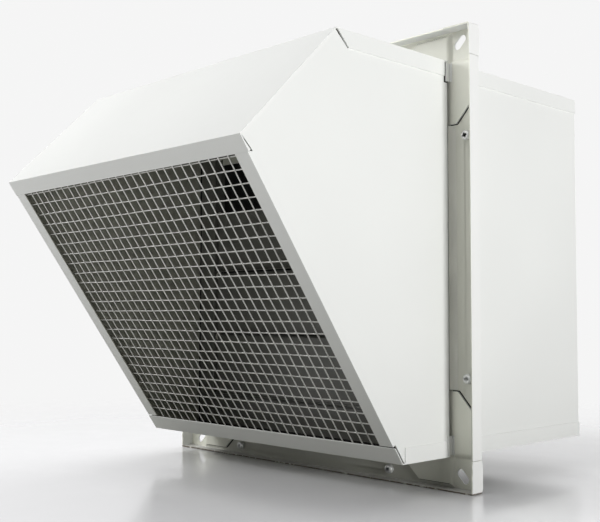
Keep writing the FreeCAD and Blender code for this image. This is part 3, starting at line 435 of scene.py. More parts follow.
class FinishShop:
    """Every finish of the fan, by name."""

    def __init__(self, effects: EffectLibrary) -> None:
        """Build the finishes.

        Args:
            effects: The shared effects.
        """
        white = (0.83, 0.84, 0.82)
        pale = (0.83, 0.835, 0.82)
        satin = (0.30, 0.38)
        finishes = (
            # Painted shade inside: olive grey in the hood, near black in the casing.
            CoatedSheet("hood_coat", white, inward_shade_colour=(0.54, 0.54, 0.47)),
            # Painted shade: flange and corner faces that look forward take a yellowed tone graded by
            # height, darker low on the flange and high on the corners.
            CoatedSheet("flange_coat", pale, satin, front_shade_colour=(0.92, 0.925, 0.82), low_shade_share=0.695, rubbed_and_shaded=True),
            CoatedSheet("corner_coat", pale, satin, front_shade_colour=(0.76, 0.765, 0.68), low_shade_share=1.22,
                        fade=(-0.2, 0.12), rubbed_and_shaded=True),
            CoatedSheet("casing_coat", white, inward_shade_colour=(0.05, 0.05, 0.045)),
            CoatedSheet("panel_coat", white),
            # Painted shade: the shutter's dark grey also stands in for the shade on it inside the casing.
            CoatedSheet("shutter_coat_and_shade", (0.18, 0.18, 0.162), (0.26, 0.36), dust=0.3),
            CoatedSheet("guard_coat", (0.80, 0.81, 0.79), (0.28, 0.36)),
            PlatedSteel("wire_zinc", (0.84, 0.84, 0.81), (0.38, 0.50), metallic=0.2),
            PlatedSteel("screw_zinc", (0.66, 0.67, 0.68), (0.18, 0.30)),
            PlatedSteel("bright_zinc", (0.80, 0.81, 0.80), (0.26, 0.38), metallic=0.4),
            # Painted shade: the near-black colour of the screws' cross recesses.
            PlatedSteel("recess_painted_shade", (0.10, 0.10, 0.10), (0.45, 0.60), metallic=0.7),
            PlatedSteel("drawn_steel", (0.48, 0.48, 0.47), (0.22, 0.34)),
            PlatedSteel("turned_steel", (0.42, 0.42, 0.42), (0.20, 0.32)),
            CastEnamel("motor_enamel", (0.060, 0.065, 0.070), (0.42, 0.55)),
            CastEnamel("bar_enamel", (0.060, 0.062, 0.066), (0.40, 0.52), grain_scale=800.0),
            CastEnamel("impeller_coat", (0.018, 0.018, 0.020), (0.40, 0.52), grain_scale=900.0),
            CastEnamel("nylon", (0.70, 0.68, 0.60), (0.45, 0.55), grain_scale=500.0, bump=0.08),
            CastEnamel("box_plastic", (0.085, 0.090, 0.095), (0.42, 0.55), grain_scale=650.0, bump=0.3),
            CastEnamel("gland_nylon", (0.012, 0.012, 0.012), (0.38, 0.50), grain_scale=650.0, bump=0.15),
            CastEnamel("seal_rubber", (0.60, 0.60, 0.55), (0.55, 0.68), grain_scale=600.0, bump=0.12,
                       dust=0.15),
            # Painted shade: near black for the bead and strips in gaps and joints.
            CastEnamel("gap_painted_shade", (0.010, 0.010, 0.010), (0.80, 0.92), grain_scale=500.0, bump=0.4,
                       dust=0.05),
        )
        self.materials = {finish.name: finish.build(effects) for finish in finishes}

    def __getitem__(self, name: str) -> Material:
        """Give a finish's material by name."""
        return self.materials[name]


def modify(piece: Object, name: str, kind: str, **settings: object) -> None:
    """Add a modifier to a piece.

    Args:
        piece: The piece.
        name: The modifier's name.
        kind: Its type name.
        **settings: Its properties by name.
    """
    modifier = piece.modifiers.new(name, kind)
    for label, setting in settings.items():
        setattr(modifier, label, setting)


def wear(node: str, material: Material, soften: Soften | None) -> None:
    """Give a node of the frame its finish, and round its edges.

    Args:
        node: The node's name.
        material: The finish's material.
        soften: How far its edges are rounded, or None to leave them.
    """
    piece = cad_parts[node]
    for place in piece.material_slots:
        place.material = material
    if soften is not None:
        modify(piece, "join_faces", "WELD", merge_threshold=TINY)
        modify(piece, "soft_edges", "BEVEL", width=soften.value, segments=2, limit_method="ANGLE",
               angle_limit=SOFT_ANGLE, miter_outer="MITER_ARC", face_strength_mode="FSTR_ALL")
        modify(piece, "even_shading", "WEIGHTED_NORMAL", keep_sharp=True, use_face_influence=True)
    log.info("dressed %s in %s", node, material.name)


def place_piece(name: str, mesh: BMesh, material: Material, body: str,
                smooth: bool = True) -> Object:
    """Turn a finished bmesh into a piece that rides on a body.

    Args:
        name: The piece's name.
        mesh: Its shape, which is freed.
        material: Its finish.
        body: The body that it moves with.
        smooth: Whether its faces are shaded smooth.

    Returns:
        The piece.
    """
    bmesh.ops.recalc_face_normals(mesh, faces=mesh.faces)
    for face in mesh.faces:
        face.smooth = smooth
    data = bpy.data.meshes.new(name)
    mesh.to_mesh(data)
    mesh.free()
    data.materials.append(material)
    piece = bpy.data.objects.new(name, data)
    bpy.context.scene.collection.objects.link(piece)
    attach(piece, body)
    log.info("built %s with %d faces", name, len(data.polygons))
    return piece


def pick(geom: Iterable, kind: type = BMVert) -> list:
    """Pick the parts of one kind, the vertices unless told otherwise."""
    return [part for part in geom if isinstance(part, kind)]


def whole(mesh: BMesh) -> list:
    """List everything that a mesh holds."""
    return [*mesh.verts, *mesh.edges, *mesh.faces]


def edges_round(verts: Iterable[BMVert]) -> list[BMEdge]:
    """List the edges that meet some vertices, each once."""
    return list(dict.fromkeys(edge for vert in verts for edge in vert.link_edges))


def lies_at(edge: BMEdge, axis: int, level: float) -> bool:
    """Tell whether both ends of an edge lie at one level of an axis."""
    return all(abs(vert.co[axis] - level) < TINY for vert in edge.verts)


def round_off(mesh: BMesh, edges: list[BMEdge], radius: float) -> None:
    """Round some edges of a mesh."""
    bmesh.ops.bevel(mesh, geom=edges, offset=radius, offset_type="OFFSET", segments=3, profile=0.5,
                    affect="EDGES", material=-1, clamp_overlap=True)


def push_out(mesh: BMesh, faces: Iterable[BMFace], push: Sequence[float]) -> list[BMVert]:
    """Extrude faces along a straight line.

    Args:
        mesh: The mesh that holds them.
        faces: The faces.
        push: How far and where they go.

    Returns:
        The vertices at the far end.
    """
    verts = pick(bmesh.ops.extrude_face_region(mesh, geom=list(faces))["geom"])
    bmesh.ops.translate(mesh, vec=push, verts=verts)
    return verts


def add_copy(mesh: BMesh, geom: list, turn: Matrix) -> None:
    """Copy part of a mesh and turn, mirror or move the copy."""
    copied = bmesh.ops.duplicate(mesh, geom=geom)["geom"]
    bmesh.ops.transform(mesh, matrix=turn, verts=pick(copied))


@dataclass
class RodDrawer:
    """Draw round wires and beads that stray a little from their straight lines.

    Each wave has a weight, a step from rod to rod, a share of the phase and a number of turns.
    """

    radius: float
    sides: int = 8
    steps: int = 40
    sway: float = 0.00045
    waves: tuple[tuple[float, ...], ...] = ((0.7, 2.1, 1.0, 1.3), (0.3, 5.3, 2.0, 4.1))
    dent_at: float = 0.70
    dent_width: float = 0.035

    def wander(self, number: int, share: float, phase: float) -> float:
        """Give how far a rod strays sideways, at a share of its length and with its layer's phase."""
        return self.sway * sum(
            weight * math.sin(step * number + lag * phase + share * math.tau * turns)
            for weight, step, lag, turns in self.waves)

    def draw(self, mesh: BMesh, start: Vector, end: Vector, number: int, phase: float, aside: Vector,
             kink: float = 0.0) -> None:
        """Draw one round rod from end to end.

        Args:
            mesh: The mesh that takes the rod.
            start: Where the rod starts.
            end: Where it ends.
            number: The rod's number.
            phase: The layer's phase.
            aside: The direction in which it strays.
            kink: How far a dent pushes it sideways near its upper end.
        """
        circle = bmesh.ops.create_circle(mesh, cap_ends=True, radius=self.radius, segments=self.sides)
        ring = circle["verts"]
        turn = (end - start).to_track_quat("Z", "Y").to_matrix().to_4x4()
        bmesh.ops.transform(mesh, matrix=Matrix.Translation(start) @ turn, verts=ring)
        cap = list({face for vert in ring for face in vert.link_faces})
        step = (end - start) / self.steps
        last = 0.0
        for index in range(1, self.steps + 1):
            share = index / self.steps
            dent = kink * math.exp(-((share - self.dent_at) / self.dent_width) ** 2)
            shift = self.wander(number, share, phase) + dent
            grown = bmesh.ops.extrude_face_region(mesh, geom=cap)["geom"]
            if index > 1:
                bmesh.ops.delete(mesh, geom=cap, context="FACES_ONLY")
            cap = pick(grown, BMFace)
            bmesh.ops.translate(mesh, verts=pick(grown), vec=step + aside * (shift - last))
            last = shift


@dataclass
class MouthMesh:
    """The welded wire mesh behind the mouth's lips."""

    material: Material
    foot: Vector = field(default_factory=lambda: Vector((0.0, -0.082, -0.200)))
    run: float = 0.203
    rise: float = 0.288
    wall: float = 0.0012
    lips: tuple[float, float, float] = (0.017, 0.017, 0.0197)
    half_inner: float = 0.1988
    pitch: float = 0.0131
    wire: float = 0.0013
    tuck: float = 0.008
    first: float = 0.0026
    clearance: float = 0.0001
    phases: Span = (0.4, 1.9)
    dent: float = 0.0022

    @property
    def slope(self) -> float:
        """Length of the mouth from foot to nose."""
        return math.hypot(self.run, self.rise)

    def to_frame(self) -> Matrix:
        """Give the matrix from the mouth's own plane to the part's frame.

        Returns:
            A matrix whose X runs across, Y up the mouth and Z out of it.
        """
        up = Vector((0.0, -self.run, self.rise)) / self.slope
        out = Vector((0.0, -self.rise, -self.run)) / self.slope
        turn = Matrix((up.cross(out), up, out)).transposed().to_4x4()
        return Matrix.Translation(self.foot) @ turn

    def build(self) -> None:
        """Build both layers of wires in place of the frame's straight ones."""
        top, side, bottom = self.lips
        half = self.half_inner - side
        count = int(2 * half / self.pitch)
        depth = -(self.wall + self.clearance + self.wire / 2)
        low = bottom - self.tuck
        high = self.slope - top + self.tuck
        drawer = RodDrawer(self.wire / 2)
        down = bmesh.new()
        for number in range(count):
            x = (number - (count - 1) / 2) * self.pitch
            kink = self.dent if number == 0 else 0.0
            drawer.draw(down, Vector((x, low, depth)), Vector((x, high, depth)), number, self.phases[0],
                        Vector((1.0, 0.0, 0.0)), kink)
        rows = int((self.slope - top - bottom - self.first) / self.pitch) + 1
        deeper = depth - self.clearance - self.wire
        reach = half + self.tuck
        across = bmesh.new()
        for number in range(rows):
            y = self.slope - top - self.first - (rows - 1 - number) * self.pitch
            drawer.draw(across, Vector((-reach, y, deeper)), Vector((reach, y, deeper)), number,
                        self.phases[1], Vector((0.0, -1.0, 0.0)))
        for name, mesh in (("mesh_wires_down", down), ("mesh_wires_across", across)):
            bmesh.ops.transform(mesh, matrix=self.to_frame(), verts=mesh.verts)
            piece = place_piece(f"{name}_drawn", mesh, self.material, HOUSING)
            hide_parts(name)


@dataclass
class ShutterGapShade:
    """A black bead that fills the gap between the shutter's frame and the hood's walls, as painted shade.
    """

    material: Material
    frame_half: float = 0.1950
    wall_half: float = 0.1976
    front: float = -0.0162
    phases: Span = (0.8, 2.3)

    def build(self) -> None:
        """Lay one bead along each side of the frame."""
        radius = (self.wall_half - self.frame_half) / 2
        middle = (self.wall_half + self.frame_half) / 2
        drawer = RodDrawer(radius, sides=10, steps=60, sway=0.0005)
        mesh = bmesh.new()
        ends = (-middle, middle)
        for number, place in enumerate(ends):
            upright = [Vector((place, self.front, end)) for end in ends]
            level = [Vector((end, self.front, place)) for end in ends]
            drawer.draw(mesh, *upright, number, self.phases[0], FORWARD)
            drawer.draw(mesh, *level, number, self.phases[1], FORWARD)
        place_piece("shutter_gap_shade", mesh, self.material, HOUSING)


@dataclass
class HoodSeal:
    """The grey strips between the hood's rear edge and the flange, from corner to corner."""

    material: Material
    edge: float = 0.2000
    tuck: float = 0.0009
    front: float = -0.0082
    back: float = -0.00285
    half_length: float = 0.1335
    bends: int = 5
    sharp: float = math.radians(40.0)

    def section(self, mesh: BMesh) -> None:
        """Draw the hollow-faced section at the lower end of the right strip.

        Args:
            mesh: The mesh that takes the section.
        """
        reach = self.back - self.front
        tip = mesh.verts.new((self.edge, self.front, -self.half_length))
        bmesh.ops.spin(mesh, geom=[tip], cent=(self.edge + reach, self.front, 0.0), axis=(0.0, 0.0, 1.0),
                       angle=math.radians(-90.0), steps=self.bends, use_merge=False)
        outline = list(mesh.verts)
        for depth in (self.back, self.front):
            outline.append(mesh.verts.new((self.edge - self.tuck, depth, -self.half_length)))
        mesh.faces.new(outline)

    def build(self) -> None:
        """Draw the four strips."""
        mesh = bmesh.new()
        self.section(mesh)
        push_out(mesh, mesh.faces, (0.0, 0.0, 2 * self.half_length))
        first = whole(mesh)
        for quarter in (1, 2, 3):
            add_copy(mesh, first, Matrix.Rotation(math.radians(90.0 * quarter), 4, "Y"))
        piece = place_piece("hood_seal", mesh, self.material, HOUSING)
        piece.data.set_sharp_from_angle(angle=self.sharp)


@dataclass
class StampedCorners:
    """The four stamped corner pieces of the flange, with soft joggles, a slot and wrapped lips.

    Each wave of the lip's edge has a weight, a step from point to point and a start.
    """

    material: Material
    edge: float = 0.2325
    pad_start: float = 0.2005
    rim: float = 0.1965
    plate: float = 0.0016
    tab_level: float = -0.0034
    tab_end: float = 0.135
    tab_turn: float = 0.157
    tab_flat: float = 0.207
    tab_out: float = 0.2269
    lip: float = 0.0175
    slot_centre: Span = (0.2102, 0.2188)
    slot_width: float = 0.0086
    slot_span: float = 0.008
    fold: float = 0.0016
    joggle: float = 0.0012
    soft: float = 0.0003
    soft_angle: float = math.radians(50.0)
    cuts: int = 5
    waves: tuple[tuple[float, ...], ...] = ((1.0, 2.7, 0.0), (0.6, 5.9, 1.0))
    unrest: float = 0.6

    def cut_slot(self, mesh: BMesh) -> None:
        """Draw the slot's rounded outline.

        Args:
            mesh: The mesh that takes the outline.
        """
        ring = bmesh.ops.create_circle(mesh, radius=self.slot_width / 2, segments=24)["verts"]
        for vert in ring:
            side = 1.0 if vert.co.x > TINY else -1.0
            vert.co.x += side * self.slot_span / 2
        turn = Matrix.Rotation(math.radians(45.0), 4, "Z")
        place = Matrix.Translation((self.slot_centre[0], 0.0, self.slot_centre[1]))
        bmesh.ops.transform(mesh, matrix=place @ STAND_UP @ turn, verts=ring)

    def lay_pad(self, mesh: BMesh) -> None:
        """Lay the slotted pad in the wall plane.

        Args:
            mesh: The mesh that takes the pad.
        """
        self.cut_slot(mesh)
        half = (self.edge - self.pad_start) / 2
        middle = (self.edge + self.pad_start) / 2
        square = bmesh.ops.create_grid(mesh, x_segments=1, y_segments=1, size=half)["verts"]
        place = Matrix.Translation((middle, 0.0, middle))
        bmesh.ops.transform(mesh, matrix=place @ STAND_UP, verts=square)
        rim = edges_round(square)
        bmesh.ops.delete(mesh, geom=list(mesh.faces), context="FACES_ONLY")
        bmesh.ops.subdivide_edges(mesh, edges=rim, cuts=self.cuts)
        bmesh.ops.bridge_loops(mesh, edges=list(mesh.edges))

    def edges_at(self, mesh: BMesh, axis: int, level: float) -> list[BMEdge]:
        """Find the open edges that lie at one level of an axis."""
        return [edge for edge in mesh.edges if edge.is_boundary and lies_at(edge, axis, level)]

    def grow(self, mesh: BMesh, edges: list[BMEdge]) -> list[BMVert]:
        """Extrude open edges in place and give the new vertices."""
        return pick(bmesh.ops.extrude_edge_only(mesh, edges=edges)["geom"])

    def draw_tab(self, mesh: BMesh, along: int, across: int) -> None:
        """Draw one tab: a soft joggle up from the pad, then the flat with its slanted end.

        Args:
            mesh: The mesh that takes the tab.
            along: The axis that the tab runs along, 0 or 2.
            across: The axis across the tab.
        """
        reach = self.edge - self.pad_start
        for vert in self.grow(mesh, self.edges_at(mesh, along, self.pad_start)):
            share = (vert.co[across] - self.pad_start) / reach
            vert.co[along] = self.rim
            vert.co[across] = self.rim + share * (self.tab_out - self.rim)
            vert.co.y = self.tab_level
        for vert in self.grow(mesh, self.edges_at(mesh, along, self.rim)):
            slant = max(0.0, (vert.co[across] - self.tab_flat) / (self.tab_out - self.tab_flat))
            vert.co[along] = self.tab_end + slant * (self.tab_turn - self.tab_end)

    def wrap_lips(self, mesh: BMesh, ragged: float) -> None:
        """Turn the lips forward round the outer corner.

        Args:
            mesh: The mesh that takes the lips.
            ragged: How far the lip's edge wavers.
        """
        outer = self.edges_at(mesh, 0, self.edge) + self.edges_at(mesh, 2, self.edge)
        bend = {vert for edge in outer for vert in edge.verts}
        verts = self.grow(mesh, outer)
        for number, vert in enumerate(sorted(verts, key=lambda part: part.co.x - part.co.z)):
            waver = sum(weight * math.sin(step * number + start) for weight, step, start in self.waves)
            vert.co.y -= self.lip - ragged * (1.0 + self.unrest * waver)
        folds = [edge for edge in mesh.edges if not edge.is_boundary and bend.issuperset(edge.verts)]
        upright = [edge for edge in mesh.edges if edge not in folds
                   and lies_at(edge, 0, self.edge) and lies_at(edge, 2, self.edge)]
        round_off(mesh, folds + upright, self.fold)

    def is_step(self, edge: BMEdge) -> bool:
        """Tell whether an edge is a bend of a joggle."""
        return any(lies_at(edge, axis, level) for axis in (0, 2) for level in (self.pad_start, self.rim))

    def stamp(self, ragged: float) -> BMesh:
        """Stamp the top right corner.

        Args:
            ragged: How far the lip's edge wavers.

        Returns:
            The finished corner.
        """
        mesh = bmesh.new()
        self.lay_pad(mesh)
        self.draw_tab(mesh, 0, 2)
        self.draw_tab(mesh, 2, 0)
        steps = [edge for edge in mesh.edges if not edge.is_boundary and self.is_step(edge)]
        self.wrap_lips(mesh, ragged)
        round_off(mesh, [edge for edge in steps if edge.is_valid], self.joggle)
        bmesh.ops.remove_doubles(mesh, verts=mesh.verts, dist=TINY)
        return mesh

    def build(self) -> None:
        """Build the four corners in place of the frame's plain ones."""
        for level, rise, ragged in (("top", 1.0, 0.0003), ("bottom", -1.0, 0.0006)):
            for side, out in (("right", 1.0), ("left", -1.0)):
                mesh = self.stamp(ragged)
                bmesh.ops.scale(mesh, vec=(out, 1.0, rise), verts=mesh.verts)
                name = f"corner_{level}_{side}"
                piece = place_piece(f"{name}_stamped", mesh, self.material, HOUSING,
                                    smooth=False)
                modify(piece, "sheet", "SOLIDIFY", thickness=self.plate, offset=-1.0, use_even_offset=True)
                modify(piece, "soft_edges", "BEVEL", width=self.soft, segments=2, limit_method="ANGLE",
                       angle_limit=self.soft_angle)
                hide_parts(name)


@dataclass
class JointShade:
    """Dark strips of painted shade that line the hood's upper feet and the ends of the corner pieces'
    tabs.
    """

    material: Material
    bed: float = -0.0027
    thickness: float = 0.0004
    shift: tuple[float, float, float] = (0.0008, 0.0, -0.0009)
    tab_path: tuple[Span, ...] = ((0.199, 0.135), (0.207, 0.135), (0.2269, 0.157), (0.2269, 0.195))
    panel_face: float = 0.1988
    foot_front: float = -0.0118
    foot_gap: float = 0.0022
    foot_back: float = -0.0083
    foot_low: float = 0.179
    foot_high: float = 0.1985
    under: float = 0.0014

    def line_tab(self, mesh: BMesh) -> None:
        """Draw the dark line of painted shade round the end of one tab of the top right corner.

        Args:
            mesh: The mesh that takes the line.
        """
        start, *others = self.tab_path
        tip = mesh.verts.new((start[0], self.bed, start[1]))
        for out, rise in others:
            tip = bmesh.ops.extrude_vert_indiv(mesh, verts=[tip])["verts"][0]
            tip.co = (out, self.bed, rise)
        wide = bmesh.ops.extrude_edge_only(mesh, edges=list(mesh.edges))["geom"]
        bmesh.ops.translate(mesh, vec=self.shift, verts=pick(wide))
        push_out(mesh, mesh.faces, (0.0, -self.thickness, 0.0))

    def line_foot(self, mesh: BMesh) -> None:
        """Fill the gap in front of the right upper foot, and the one under it, with painted shade.

        Args:
            mesh: The mesh that takes the filling.
        """
        front = self.foot_front - self.foot_gap
        low = self.foot_low - self.under
        outline = ((front, low), (self.foot_back, low), (self.foot_back, self.foot_low),
                   (self.foot_front, self.foot_low), (self.foot_front, self.foot_high),
                   (front, self.foot_high))
        inner = self.panel_face - self.thickness / 2
        face = mesh.faces.new([mesh.verts.new((inner, depth, height)) for depth, height in outline])
        push_out(mesh, [face], (self.thickness, 0.0, 0.0))

    def build(self) -> None:
        """Draw all the lines."""
        mesh = bmesh.new()
        self.line_tab(mesh)
        swap = Matrix(((0, 0, 1, 0), (0, 1, 0, 0), (1, 0, 0, 0), (0, 0, 0, 1)))
        add_copy(mesh, whole(mesh), swap)
        add_copy(mesh, whole(mesh), Matrix.Diagonal((1.0, 1.0, -1.0, 1.0)))
        self.line_foot(mesh)
        add_copy(mesh, whole(mesh), Matrix.Diagonal((-1.0, 1.0, 1.0, 1.0)))
        place_piece("joint_painted_shade", mesh, self.material, HOUSING, smooth=False)


@dataclass
class FlangeScrews:
    """Pan head screws with a deep cross recess, two on each side of the flange."""

    metal: Material
    shade: Material
    half_gap: float = 0.12175
    out: float = 0.2186
    level: float = 0.2218
    aside: float = 0.006
    seat: float = -0.0028
    head: float = 0.0104
    rise: float = 0.0044
    arm: float = 0.0027
    blade: float = 0.0009
    depth: float = 0.0018
    taper: float = 0.62
    crown: float = 0.31
    profile: tuple[Span, ...] = ((0.38, 0.95), (0.44, 0.82), (0.48, 0.62), (0.50, 0.34), (0.495, 0.0))
    first_turn: float = 0.4
    next_turn: float = 1.1
    sharp: float = math.radians(38.0)

    def sink_cross(self, mesh: BMesh) -> list[BMEdge]:
        """Sink the cross recess below the crown's level.

        Args:
            mesh: The empty mesh that takes the recess.

        Returns:
            The edges of the recess's mouth.
        """
        cross = bmesh.ops.create_grid(mesh, x_segments=3, y_segments=3, size=self.arm)["verts"]
        for vert in cross:
            for axis in (0, 1):
                if abs(vert.co[axis]) < self.arm - TINY:
                    vert.co[axis] = math.copysign(self.blade, vert.co[axis])
        corners = [face for face in mesh.faces
                   if all(abs(part) > self.blade for part in face.calc_center_median()[:2])]
        bmesh.ops.delete(mesh, geom=corners, context="FACES")
        bmesh.ops.translate(mesh, vec=(0.0, 0.0, self.rise), verts=mesh.verts)
        mouth = [edge for edge in mesh.edges if edge.is_boundary]
        sunk = push_out(mesh, mesh.faces, (0.0, 0.0, -self.depth))
        bmesh.ops.scale(mesh, vec=(self.taper, self.taper, 1.0), verts=sunk)
        old = [face for face in mesh.faces if all(vert.co.z > self.rise - TINY for vert in face.verts)]
        bmesh.ops.delete(mesh, geom=old, context="FACES_ONLY")
        return [edge for edge in mouth if edge.is_valid]

    def shape_head(self) -> BMesh:
        """Shape one head round the Z axis, seat at zero.

        Returns:
            The head.
        """
        mesh = bmesh.new()
        mouth = self.sink_cross(mesh)
        recess = set(mesh.faces)
        top = bmesh.ops.create_circle(mesh, radius=self.head * self.crown, segments=24)["verts"]
        bmesh.ops.translate(mesh, vec=(0.0, 0.0, self.rise), verts=top)
        ring = edges_round(top)
        bmesh.ops.bridge_loops(mesh, edges=mouth + ring)
        for width, height in self.profile:
            grown = bmesh.ops.extrude_edge_only(mesh, edges=ring)["geom"]
            ring = pick(grown, BMEdge)
            for vert in pick(grown):
                flat = vert.co.xy.normalized() * self.head * width
                vert.co = (flat.x, flat.y, self.rise * height)
        bmesh.ops.holes_fill(mesh, edges=ring)
        # The recess takes the second material, its painted shade.
        for face in mesh.faces:
            face.material_index = 1 if face in recess else 0
        return mesh

    def build(self) -> None:
        """Set all the screws in place of the frame's plain ones."""
        pairs = [(side, gap * self.half_gap) for side in (1.0, -1.0) for gap in (1.0, -1.0)]
        spots = [(side * self.out, gap) for side, gap in pairs]
        spots += [(gap - self.aside, side * self.level) for side, gap in pairs]
        mesh = self.shape_head()
        first = whole(mesh)
        for number, (x, z) in enumerate(spots):
            turn = Matrix.Rotation(self.first_turn + self.next_turn * number, 4, "Z")
            add_copy(mesh, first, Matrix.Translation((x, self.seat, z)) @ STAND_UP @ turn)
        bmesh.ops.delete(mesh, geom=pick(first), context="VERTS")
        piece = place_piece("flange_screws_turned", mesh, self.metal, HOUSING)
        piece.data.materials.append(self.shade)
        piece.data.set_sharp_from_angle(angle=self.sharp)
        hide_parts("flange_screws")


@dataclass
class FanBody:
    """The carried-over nodes and the finishes that they wear."""

    shop: FinishShop

    def dress(self) -> None:
        """Give every node its finish."""
        sides = ("top", "bottom", "left", "right")
        corners = [f"corner_{level}_{side}" for level in ("top", "bottom") for side in ("left", "right")]
        blades = [f"shutter_blade_{number}" for number in range(1, 5)]
        plan = (
            ("hood_coat", Soften.SHEET, ("hood_top", "hood_bottom", "hood_side_left", "hood_side_right")),
            ("flange_coat", Soften.SHEET, [f"flange_{side}" for side in sides]),
            ("casing_coat", None, [f"casing_{side}" for side in sides]),
            ("corner_coat", Soften.SHEET, corners),
            ("panel_coat", Soften.SHEET, ["rear_panel"]),
            ("screw_zinc", None, ("flange_screws", "rear_panel_screws", "motor_bolts", "terminal_screws")),
            ("shutter_coat_and_shade", Soften.SHEET, ["shutter_frame", *blades]),
            ("nylon", None, ["shutter_bushes"]),
            ("drawn_steel", None, [f"shutter_rod_{number}" for number in range(1, 5)]),
            ("motor_enamel", Soften.CAST, ("motor_shell", "motor_cap_front", "motor_cap_rear")),
            ("turned_steel", None, ("motor_bearing_front", "motor_bearing_rear", "rotor_core",
                                    "motor_shaft", "impeller_nut")),
            ("bar_enamel", Soften.CAST, ("motor_bar_left", "motor_bar_right")),
            ("impeller_coat", Soften.CAST, ["impeller_hub"]),
            ("impeller_coat", None, ["impeller_blades"]),
            ("guard_coat", None, ("guard_ring", "guard_wires", "guard_stays", "guard_posts")),
            ("box_plastic", Soften.PLASTIC, ("terminal_box", "terminal_lid")),
            ("gland_nylon", Soften.SHEET, ["cable_gland"]),
        )
        for finish, soften, nodes in plan:
            for node in nodes:
                wear(node, self.shop[finish], soften)


@dataclass
class Lamp:
    """One soft studio lamp."""

    name: str
    place: Vector
    size: Span
    watts: float
    mirrored: bool = True
    aim: Vector = field(default_factory=lambda: Vector((0.0, -0.02, 0.0)))

    def build(self) -> None:
        """Hang the lamp."""
        data = bpy.data.lights.new(self.name, "AREA")
        data.shape = "RECTANGLE"
        data.size, data.size_y = self.size
        data.energy = self.watts
        lamp = bpy.data.objects.new(self.name, data)
        lamp.visible_camera = False
        lamp.visible_glossy = self.mirrored
        lamp.location = self.place
        lamp.rotation_euler = (self.aim - self.place).to_track_quat("-Z", "Y").to_euler()
        bpy.context.scene.collection.objects.link(lamp)


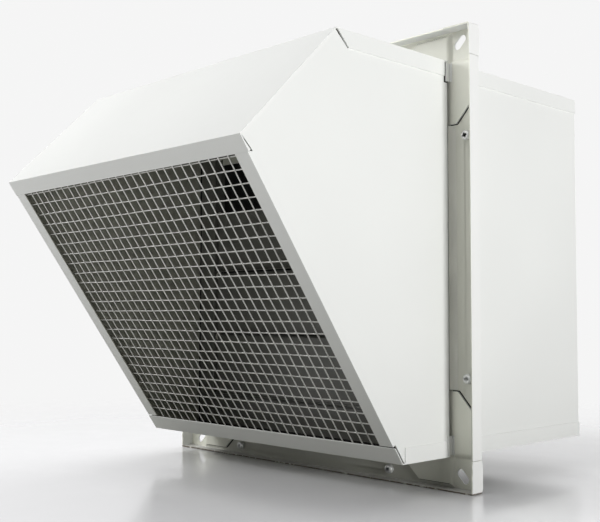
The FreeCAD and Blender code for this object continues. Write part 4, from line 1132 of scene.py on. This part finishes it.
@dataclass
class Studio:
    """The floor, the light and the camera."""

    floor_level: float = -0.2327
    floor_radius: float = 3.0
    floor_tones: tuple[Colour, Colour] = ((0.84, 0.84, 0.86), (0.88, 0.88, 0.90))
    floor_bounce: Colour = (0.38, 0.38, 0.355)
    floor_patches: Span = (0.3, 0.7)
    floor_gloss: Span = (0.10, 0.20)
    floor_fade: Span = (0.35, 1.0)
    backdrop: float = 0.915
    opening: Span = (0.1, 0.9)
    ambient: Span = (0.03, 0.34)
    far_floor: float = 0.85
    horizon: Span = (-0.15, -0.02)
    open_side: Vector = field(default_factory=lambda: Vector((-0.35, 0.0, 0.94)))
    azimuth: float = math.radians(46.201)
    elevation: float = math.radians(-3.306)
    roll: float = math.radians(0.143)
    stand: Vector = field(default_factory=lambda: Vector((0.7751, -0.7685, -0.0590)))
    lens: float = 56.11
    sensor: float = 36.0

    def paint_floor(self) -> Material:
        """Make the floor's pale gloss, which is darker to bounced light and clears with distance.

        Returns:
            The material.
        """
        material = bpy.data.materials.new("floor_gloss")
        material.use_nodes = True
        bench = NodeBench(material.node_tree)
        shader = material.node_tree.nodes["Principled BSDF"]
        place = bench.point("Object")
        pale = bench.tint(bench.noise(place, scale=3.0, detail=3.0), *self.floor_tones)
        seen = bench.add("ShaderNodeLightPath").outputs["Is Camera Ray"]
        bench.join(bench.tint(seen, self.floor_bounce, pale), shader.inputs["Base Color"])
        cloud = bench.noise(place, scale=9.0, detail=4.0)
        rough = bench.spread(cloud, *self.floor_patches, *self.floor_gloss)
        bench.join(rough, shader.inputs["Roughness"])
        apart = bench.add("ShaderNodeVectorMath", {0: place}, operation="LENGTH")
        fade = bench.spread(apart.outputs["Value"], *self.floor_fade)
        clear = bench.add("ShaderNodeBsdfTransparent").outputs["BSDF"]
        blend = bench.add("ShaderNodeMixShader", {0: fade, 1: shader.outputs["BSDF"], 2: clear})
        sink = material.node_tree.nodes["Material Output"]
        bench.join(blend.outputs["Shader"], sink.inputs["Surface"])
        return material

    def build_floor(self) -> None:
        """Lay the round floor, which fades into the backdrop."""
        mesh = bmesh.new()
        bmesh.ops.create_circle(mesh, cap_ends=True, radius=self.floor_radius, segments=96)
        bmesh.ops.translate(mesh, verts=mesh.verts, vec=(0.0, 0.0, self.floor_level))
        data = bpy.data.meshes.new("studio_floor")
        mesh.to_mesh(data)
        mesh.free()
        data.materials.append(self.paint_floor())
        floor = bpy.data.objects.new("studio_floor", data)
        bpy.context.scene.collection.objects.link(floor)

    def build_world(self) -> None:
        """Fill the room with soft light from its open side, and show it white to the camera and gloss."""
        world = bpy.data.worlds.new("studio")
        world.use_nodes = True
        bpy.context.scene.world = world
        bench = NodeBench(world.node_tree)
        ray = bench.add("ShaderNodeLightPath").outputs
        direct = bench.math("LESS_THAN", ray["Diffuse Depth"], 0.5)
        mirrored = bench.math("MULTIPLY", ray["Is Glossy Ray"], direct)
        seen = bench.math("MAXIMUM", ray["Is Camera Ray"], mirrored)
        seen = bench.math("MAXIMUM", seen, ray["Is Transmission Ray"])
        ways = {0: bench.point("Generated"), 1: self.open_side.normalized()}
        turn = bench.add("ShaderNodeVectorMath", ways, operation="DOT_PRODUCT")
        room = bench.spread(turn.outputs["Value"], *self.opening, *self.ambient)
        ground = bench.spread(bench.point("Generated", "Z"), *self.horizon, self.far_floor, 0.0)
        levels = {0: seen, 2: bench.math("MAXIMUM", room, ground), 3: self.backdrop}
        blend = bench.add("ShaderNodeMix", levels, data_type="FLOAT")
        shader = world.node_tree.nodes["Background"]
        bench.join((1.0, 1.0, 1.0), shader.inputs["Color"])
        bench.join(blend.outputs[0], shader.inputs["Strength"])

    def build_lamps(self) -> None:
        """Hang the lamps: above, right, left and behind."""
        Lamp("top_lamp", Vector((-0.35, -0.95, 1.80)), (1.2, 1.0), 18.2).build()
        Lamp("right_lamp", Vector((1.8, -0.16, 0.04)), (0.5, 0.3), 17.8).build()
        Lamp("left_lamp", Vector((-1.4, -1.25, 0.9)), (0.8, 0.6), 16.5).build()
        Lamp("back_lamp", Vector((-0.7, 1.9, 0.7)), (1.2, 1.2), 20.0, mirrored=False).build()

    def build_camera(self) -> None:
        """Stand the camera at the photograph's angle."""
        flat = math.cos(self.elevation)
        back = Vector((math.sin(self.azimuth) * flat, -math.cos(self.azimuth) * flat,
                       math.sin(self.elevation)))
        right = Vector((0.0, 0.0, 1.0)).cross(back).normalized()
        tilt = Matrix.Rotation(self.roll, 3, back)
        turned = Matrix((tilt @ right, tilt @ back.cross(right), back)).transposed().to_4x4()
        data = bpy.data.cameras.new("photo_camera")
        data.lens = self.lens
        data.sensor_width = self.sensor
        data.clip_start = 0.01
        camera = bpy.data.objects.new("photo_camera", data)
        camera.matrix_world = Matrix.Translation(self.stand) @ turned
        bpy.context.scene.collection.objects.link(camera)
        bpy.context.scene.camera = camera

    def build(self) -> None:
        """Set up the whole studio."""
        bpy.context.scene.view_settings.view_transform = "Standard"
        self.build_floor()
        self.build_world()
        self.build_lamps()
        self.build_camera()


def main() -> None:
    """Build the finishes, the pieces and the studio, in order."""
    effects = EffectLibrary()
    shop = FinishShop(effects)
    FanBody(shop).dress()
    MouthMesh(shop["wire_zinc"]).build()
    ShutterGapShade(shop["gap_painted_shade"]).build()
    HoodSeal(shop["seal_rubber"]).build()
    StampedCorners(shop["corner_coat"]).build()
    JointShade(shop["gap_painted_shade"]).build()
    FlangeScrews(shop["bright_zinc"], shop["recess_painted_shade"]).build()
    Studio().build()


if __name__ == "__main__":
    main()
